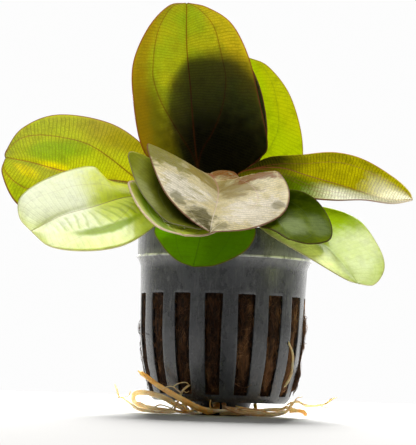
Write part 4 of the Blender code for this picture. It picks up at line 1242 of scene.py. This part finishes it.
def plug_outline():
    """Radius and height from the middle of the top, down the side and back to the middle."""
    inset = WALL + GAP
    top = [(0.02, 0.25), (4, 0.3), (8, 0.5), (12, 0.9), (17, 1.4), (21, 2.2), (RIM_RADIUS - inset - 0.2, 2.8)]
    side = [(radius - inset, z + 0.3) for radius, z in BODY_OUTLINE[:-1]]
    under_z = BASE_Z + 1.4
    return [
        *((radius, PLUG_TOP_Z - down) for radius, down in top),
        (RIM_RADIUS - inset - 0.1, COLLAR_STEP_Z + 1.1), (SHOULDER_RADIUS - inset - 0.1, COLLAR_STEP_Z - 0.3),
        (23.6, 41), *side, (BODY_OUTLINE[-1][0] - 0.8, under_z), (14, under_z), (FOOT_RADIUS + 0.7, under_z),
        (FOOT_RADIUS - 0.8, 1.6), (0.02, 1.6)]


def in_slot(angle, radius, z):
    """How far a point of the wall lies inside a slot, 0 at its side and 1 well inside."""
    if not SLOT_BOTTOM_Z < z < SLOT_TOP_Z:
        return 0.0
    period = 2 * pi / SLOTS
    away = (angle - SLOT_TURN + period / 2) % period - period / 2
    room = slot_width(z) / 2 - SLOT_MARGIN - abs(radius * sin(away))
    sill = ramp(0.3, 2.2 + 1.2 * noise.noise(Vector((angle * 3.0, 0.0, 5.0))), z - SLOT_BOTTOM_Z)
    return min(max(room / 0.7, 0.0), 1.0) * sill * min((SLOT_TOP_Z - z) / 0.8, 1.0)


def swelling(angle, z):
    """How much further out the fibre stands at a place in a slot, in mm."""
    most = 0.0
    for azimuth, middle, reach, out in BULGES:
        turn = (angle - radians(azimuth) + pi) % (2 * pi) - pi
        near = ramp(radians(10), radians(4), abs(turn)) * ramp(reach, reach * 0.3, abs(z - middle))
        most = max(most, out * near)
    return most


def plug_spot(angle, radius, z):
    """A point of the plug's lumpy skin, which swells into the slots."""
    if radius > 18 and z < COLLAR_STEP_Z:
        full = wall_radius(z) - SLOT_DEPTH + swelling(angle, z)
        depth = 1.1 * noise.noise(Vector((angle * 9, z * 0.16, 3.0)))
        radius += (full - radius + min(depth, 0.2)) * in_slot(angle, full, z)
    spot = around(angle, radius, 0, z)
    lump = 0.16 * noise.noise(spot * 0.7) + 0.10 * noise.noise(spot * 2.1)
    if z > COLLAR_STEP_Z:
        spot.z += min(lump * 2.5, 0.2)
    else:
        spot += Vector((spot.x, spot.y, 0)).normalized() * min(lump, 0.12)
    return spot


def build_plug(material):
    shares = [level / PLUG_LEVELS for level in range(PLUG_LEVELS + 1)]
    profile = spaced([Vector((radius, 0, z)) for radius, z in plug_outline()], shares)
    points = [plug_spot(2 * pi * k / PLUG_SIDES, place.x, place.z)
              for place in profile for k in range(PLUG_SIDES)]
    faces = ring_faces(len(profile), PLUG_SIDES, capped=True)
    body = new_object("coir_plug", mesh_from("coir_plug", points, faces), material)
    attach(body, "root")
    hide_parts("growing_medium")


def slot_fibre(luck):
    """Line and thickness of a loose fibre that lies in a slot."""
    slot = luck.randrange(SLOTS)
    z = luck.uniform(SLOT_BOTTOM_Z + 0.3, SLOT_TOP_Z - 0.3)
    angle = SLOT_TURN + 2 * pi * slot / SLOTS
    room = slot_width(z) / 2 - 0.25
    side = luck.uniform(-room, room)
    heading = luck.gauss(pi / 2, 0.75)
    stride = luck.uniform(1.5, 6.0) / FIBRE_STEPS
    bend = luck.uniform(-0.35, 0.35)
    out = wall_radius(z) - luck.uniform(0.25, 0.9)
    arch = luck.choice((0.25, 0.25, 0.3, 0.7)) if swelling(angle, z) > 0.3 else 0.25
    line = []
    for step in range(FIBRE_STEPS + 1):
        rise = 0.8 * arch * sin(pi * step / FIBRE_STEPS) + swelling(angle, z)
        line.append(around(angle, min(out, wall_radius(z) - 0.2) + rise, side, z))
        side += cos(heading) * stride
        z += sin(heading) * stride
        heading += bend + luck.gauss(0, 0.12)
        limit = slot_width(z) / 2 - SLOT_MARGIN
        side = min(max(side, -limit), limit)
        z = min(max(z, SLOT_BOTTOM_Z + 1.0), SLOT_TOP_Z - 0.15)
    return line, luck.uniform(0.035, 0.085)


def top_fibre(luck):
    """Line and thickness of a loose fibre that lies on the plug's top."""
    angle = luck.uniform(0, 2 * pi)
    spot = around(angle, 24.3 * luck.random() ** 0.5, 0, 0)
    heading = luck.uniform(0, 2 * pi)
    stride = luck.uniform(2.0, 8.0) / FIBRE_STEPS
    bend = luck.uniform(-0.4, 0.4)
    line = []
    for step in range(FIBRE_STEPS + 1):
        flat = min(spot.length, TOP_REACH)
        spot = spot.normalized() * flat
        top = PLUG_TOP_Z - 0.2 - 2.4 * (flat / 24.8) ** 2.2
        rise = 0.22 * sin(pi * step / FIBRE_STEPS) + luck.uniform(-0.05, 0.1)
        line.append(Vector((spot.x, spot.y, top + rise)))
        spot += Vector((cos(heading), sin(heading), 0)) * stride
        heading += bend + luck.gauss(0, 0.15)
    return line, luck.uniform(0.04, 0.10)


def build_fibres(material):
    """Loose fibres in the slots and on the plug's top, and the coarse strands."""
    luck = random.Random(7)
    fibres = [slot_fibre(luck) for _ in range(SLOT_FIBRES)]
    fibres = [(line, thick) for line, thick in fibres if (line[-1] - line[0]).length > SHORTEST_FIBRE]
    fibres += [top_fibre(luck) for _ in range(TOP_FIBRES)]
    parts = [tube_parts(line, [thick * 0.7] + [thick] * (FIBRE_STEPS - 1) + [thick * 0.5], 3)
             for line, thick in fibres]
    parts += [tube_parts(*root_line(route, radii, step=0.5, rough=0.2), sides=6) for radii, route in STRANDS]
    fibres = new_object("coir_fibres", mesh_from("coir_fibres", *joined(parts)), material)
    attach(fibres, "root")


def pale_drift(make, spot):
    """How pale the fibre is: the more the lower down and further right, in uneven mats."""
    x, _, z = make.apart(spot)
    mats = make.noise(make.stretch(spot, (1.0, 1.0, 0.45)), 240.0, 4.0, 0.6)
    return make.plus(make.plus(mats, make.minus(make.times(x, 4.5), make.times(z, 4.0))), 0.06)


def coir_material():
    """Matted coconut fibre: dark at the top left, paler lower down and to the right."""
    make = Shader(bpy.data.materials.new("coir"))
    spot = make.place()
    strands = make.noise(make.stretch(spot, (1.0, 1.0, 0.22)), 1500.0, 5.0, 0.7, 0.8)
    colour = make.mix(make.step(strands, 0.38, 0.72), linear(20, 12, 7), linear(84, 52, 28))
    paler_share = make.step(pale_drift(make, spot), 0.48, 0.70)
    pale = make.math("MULTIPLY", paler_share, make.spread(strands, 0.2, 1.1), clamp=True)
    colour = make.mix(make.times(pale, 0.8), colour, linear(138, 96, 60))
    skin = make.skin(colour, 0.9, make.bump(strands, 0.9, 0.0006))
    skin.inputs["Specular IOR Level"].default_value = 0.15
    return make.finish(skin.outputs[0])


def fibre_material():
    """Single fibres: brown, paler lower down and to the right, and some light through them."""
    make = Shader(bpy.data.materials.new("coir_fibre"))
    spot = make.place()
    browns = make.step(make.noise(spot, 500.0, 3.0, 0.6), 0.42, 0.68)
    colour = make.mix(browns, linear(52, 31, 17), linear(116, 78, 44))
    colour = make.mix(make.step(pale_drift(make, spot), 0.45, 0.74), colour, linear(186, 138, 92))
    skin = make.skin(colour, 0.75, make.bump(make.noise(spot, 4000.0, 2.0), 0.4, 0.0001))
    return make.lit_through(0.35, skin, colour)


# Crown

CROWN_SIDES = 72
CROWN_LEVELS = 24
CROWN_RIBS = 7


def crown_spot(angle, share):
    """A point of the rootstock's skin, at a share of the way down."""
    z = CROWN_TOP_Z - 0.02 - (CROWN_TOP_Z - PLUG_TOP_Z - GAP) * share
    radius = CROWN_RADIUS * min(1.0, 0.04 + share * 3.2) ** 0.5
    rib = 0.93 + 0.06 * sin(CROWN_RIBS * angle + 3.0 * share) * ramp(0.1, 0.5, share)
    return around(angle, radius * rib, 0, z) + Vector((CROWN_X, 0, 0))


def build_crown(material):
    """The short rootstock, ribbed where the stalks' bases wrap it."""
    points = [crown_spot(2 * pi * k / CROWN_SIDES, level / CROWN_LEVELS)
              for level in range(CROWN_LEVELS + 1) for k in range(CROWN_SIDES)]
    faces = ring_faces(CROWN_LEVELS + 1, CROWN_SIDES, capped=True)
    obj = new_object("rootstock", mesh_from("rootstock", points, faces), material)
    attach(obj, "root")
    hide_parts("crown")


def crown_material():
    make = Shader(bpy.data.materials.new("crown"))
    spot = make.place()
    fibres = make.noise(make.stretch(spot, (1.0, 1.0, 0.2)), 1500.0, 4.0, 0.6)
    colour = make.mix(make.step(fibres, 0.35, 0.7), linear(150, 160, 84), linear(196, 196, 128))
    stains = make.times(make.step(make.noise(spot, 320.0, 3.0), 0.5, 0.7), 0.7)
    colour = make.mix(stains, colour, linear(128, 84, 46))
    return make.finish(make.skin(colour, 0.5, make.bump(fibres, 0.6, 0.0003)).outputs[0])


# Stage

# The floor's half width and how far it reaches behind the plant, in mm.
FLOOR_SIZE = 3000
FLOOR_BACK = 950
# The surrounding's light: behind the plant, on the camera's side, and overhead as a share.
BACKDROP = 1.75
DARK_SIDE = 0.03
CEILING = 0.25
# Soft boxes: place and target in metres, width and height in metres, radiance.
SOFT_BOXES = {
    "behind": ((0, 3.0, 1.05), (0, 0, 0.07), (1.25, 1.25), 115.0),
    "above": ((0, 0, 1.0), (0, 0, 0.05), (1.3, 1.15), 4.0),
    "for the floor": ((0.05, 3.0, 0.85), (0, 0, 0), (0.55, 1.5), 238.0),
}
# The camera, as reconstructed from the photograph; its focal length is in the photograph's pixels.
PHOTO_HEIGHT = 445
FOCAL_LENGTH = 2275
SENSOR = 36.0
CAMERA_PITCH = radians(4.1)
CAMERA_ROLL = radians(1.9)
CAMERA_DISTANCE = 0.68
LOOKED_AT = Vector((-5.2, 0, 57.2)) * MM


def build_floor():
    make = Shader(bpy.data.materials.new("floor"))
    soft = make.noise(make.place(), 4.0, 2.0)
    colour = make.mix(soft, linear(216, 215, 213), linear(221, 220, 218))
    skin = make.node("ShaderNodeBsdfPrincipled", {"Base Color": colour, "Roughness": 0.8})
    skin.inputs["Specular IOR Level"].default_value = 0.0
    corners = [(x, y, 0) for x, y in ((-FLOOR_SIZE, -FLOOR_SIZE), (FLOOR_SIZE, -FLOOR_SIZE),
                                      (FLOOR_SIZE, FLOOR_BACK), (-FLOOR_SIZE, FLOOR_BACK))]
    obj = new_object("floor", mesh_from("floor", corners, [(0, 1, 2, 3)]), make.finish(skin.outputs[0]))
    return obj


def build_world():
    """A white backdrop behind the plant that fades to a dark studio on the camera's side."""
    bpy.context.scene.world = bpy.data.worlds.new("studio")
    make = Shader(bpy.context.scene.world, "ShaderNodeOutputWorld")
    heading = make.apart(make.node("ShaderNodeTexCoord").outputs["Generated"])
    backdrop = make.spread(make.step(heading[1], 0.15, 0.97), DARK_SIDE, BACKDROP)
    ceiling = make.spread(make.step(heading[2], 0.45, 0.80), 1.0, CEILING)
    fill = make.node("ShaderNodeBackground", {
        "Color": (1.0, 0.995, 0.98, 1), "Strength": make.times(backdrop, ceiling)})
    seen = make.node("ShaderNodeBackground", {"Color": (0.98, 0.98, 0.98, 1)})
    ray = make.node("ShaderNodeLightPath").outputs["Is Camera Ray"]
    both = make.node("ShaderNodeMixShader", {0: ray, 1: fill.outputs[0], 2: seen.outputs[0]})
    make.finish(both.outputs[0])


def build_light(name):
    """A soft box, turned to its target."""
    place, target, size, radiance = SOFT_BOXES[name]
    data = bpy.data.lights.new("soft box " + name, "AREA")
    data.shape = "RECTANGLE"
    data.size, data.size_y = size
    data.energy = radiance * pi * size[0] * size[1]
    obj = bpy.data.objects.new("soft box " + name, data)
    bpy.context.scene.collection.objects.link(obj)
    obj.location = place
    obj.rotation_euler = (Vector(target) - Vector(place)).to_track_quat("-Z", "Y").to_euler()
    obj.visible_camera = False
    return obj


def gathered(name, objects, state):
    """A collection for light linking, with all its objects in one state."""
    made = bpy.data.collections.new(name)
    for obj in objects:
        made.objects.link(obj)
    for entry in made.collection_objects:
        entry.light_linking.link_state = state
    return made


def light_floor(floor, plant_lights):
    """Gives the floor a light of its own, on which only the pot, its filling and the roots cast a shadow.

    The plant's lights are kept off the floor, as flags on stands do.
    """
    kept_off = gathered("kept off", [floor], "EXCLUDE")
    for light in plant_lights:
        light.light_linking.receiver_collection = kept_off
    low_pieces = [obj for obj in bpy.data.objects
                  if obj.name in ("net_pot", "coir_plug", "slot_rootlet") or obj.name.endswith("_skin")]
    light = build_light("for the floor")
    light.light_linking.receiver_collection = gathered("lit", [floor], "INCLUDE")
    light.light_linking.blocker_collection = gathered("shading", low_pieces, "INCLUDE")


def build_camera():
    """A long lens, level with the pot's foot, looking slightly up and rolled a little."""
    data = bpy.data.cameras.new("camera")
    data.sensor_width = SENSOR
    data.lens = FOCAL_LENGTH / PHOTO_HEIGHT * SENSOR
    data.clip_start = 0.05
    data.clip_end = 50.0
    camera = bpy.data.objects.new("camera", data)
    bpy.context.scene.collection.objects.link(camera)
    ahead = Vector((0, cos(CAMERA_PITCH), sin(CAMERA_PITCH)))
    level_up = Vector((0, -sin(CAMERA_PITCH), cos(CAMERA_PITCH)))
    right = Vector((1, 0, 0)) * cos(CAMERA_ROLL) + level_up * sin(CAMERA_ROLL)
    turned = Matrix((right, right.cross(ahead), -ahead)).transposed()
    camera.matrix_world = Matrix.Translation(LOOKED_AT - ahead * CAMERA_DISTANCE) @ turned.to_4x4()
    bpy.context.scene.camera = camera


build_camera()
build_world()
plant_boxes = [build_light("behind"), build_light("above")]

for leaf_name, leaf_data in LEAVES.items():
    build_leaf(leaf_name, leaf_data, leaf_material(leaf_name, LOOKS[leaf_name]))
build_roots({tone: root_material(tone) for tone in ROOT_TONES})
build_pot(pot_material())
build_plug(coir_material())
build_fibres(fibre_material())
build_crown(crown_material())
light_floor(build_floor(), plant_boxes)

scene = bpy.context.scene
scene.view_settings.view_transform = "Standard"
scene.cycles.use_denoising = True
scene.cycles.max_bounces = 14
scene.cycles.transmission_bounces = 12
scene.cycles.diffuse_bounces = 5
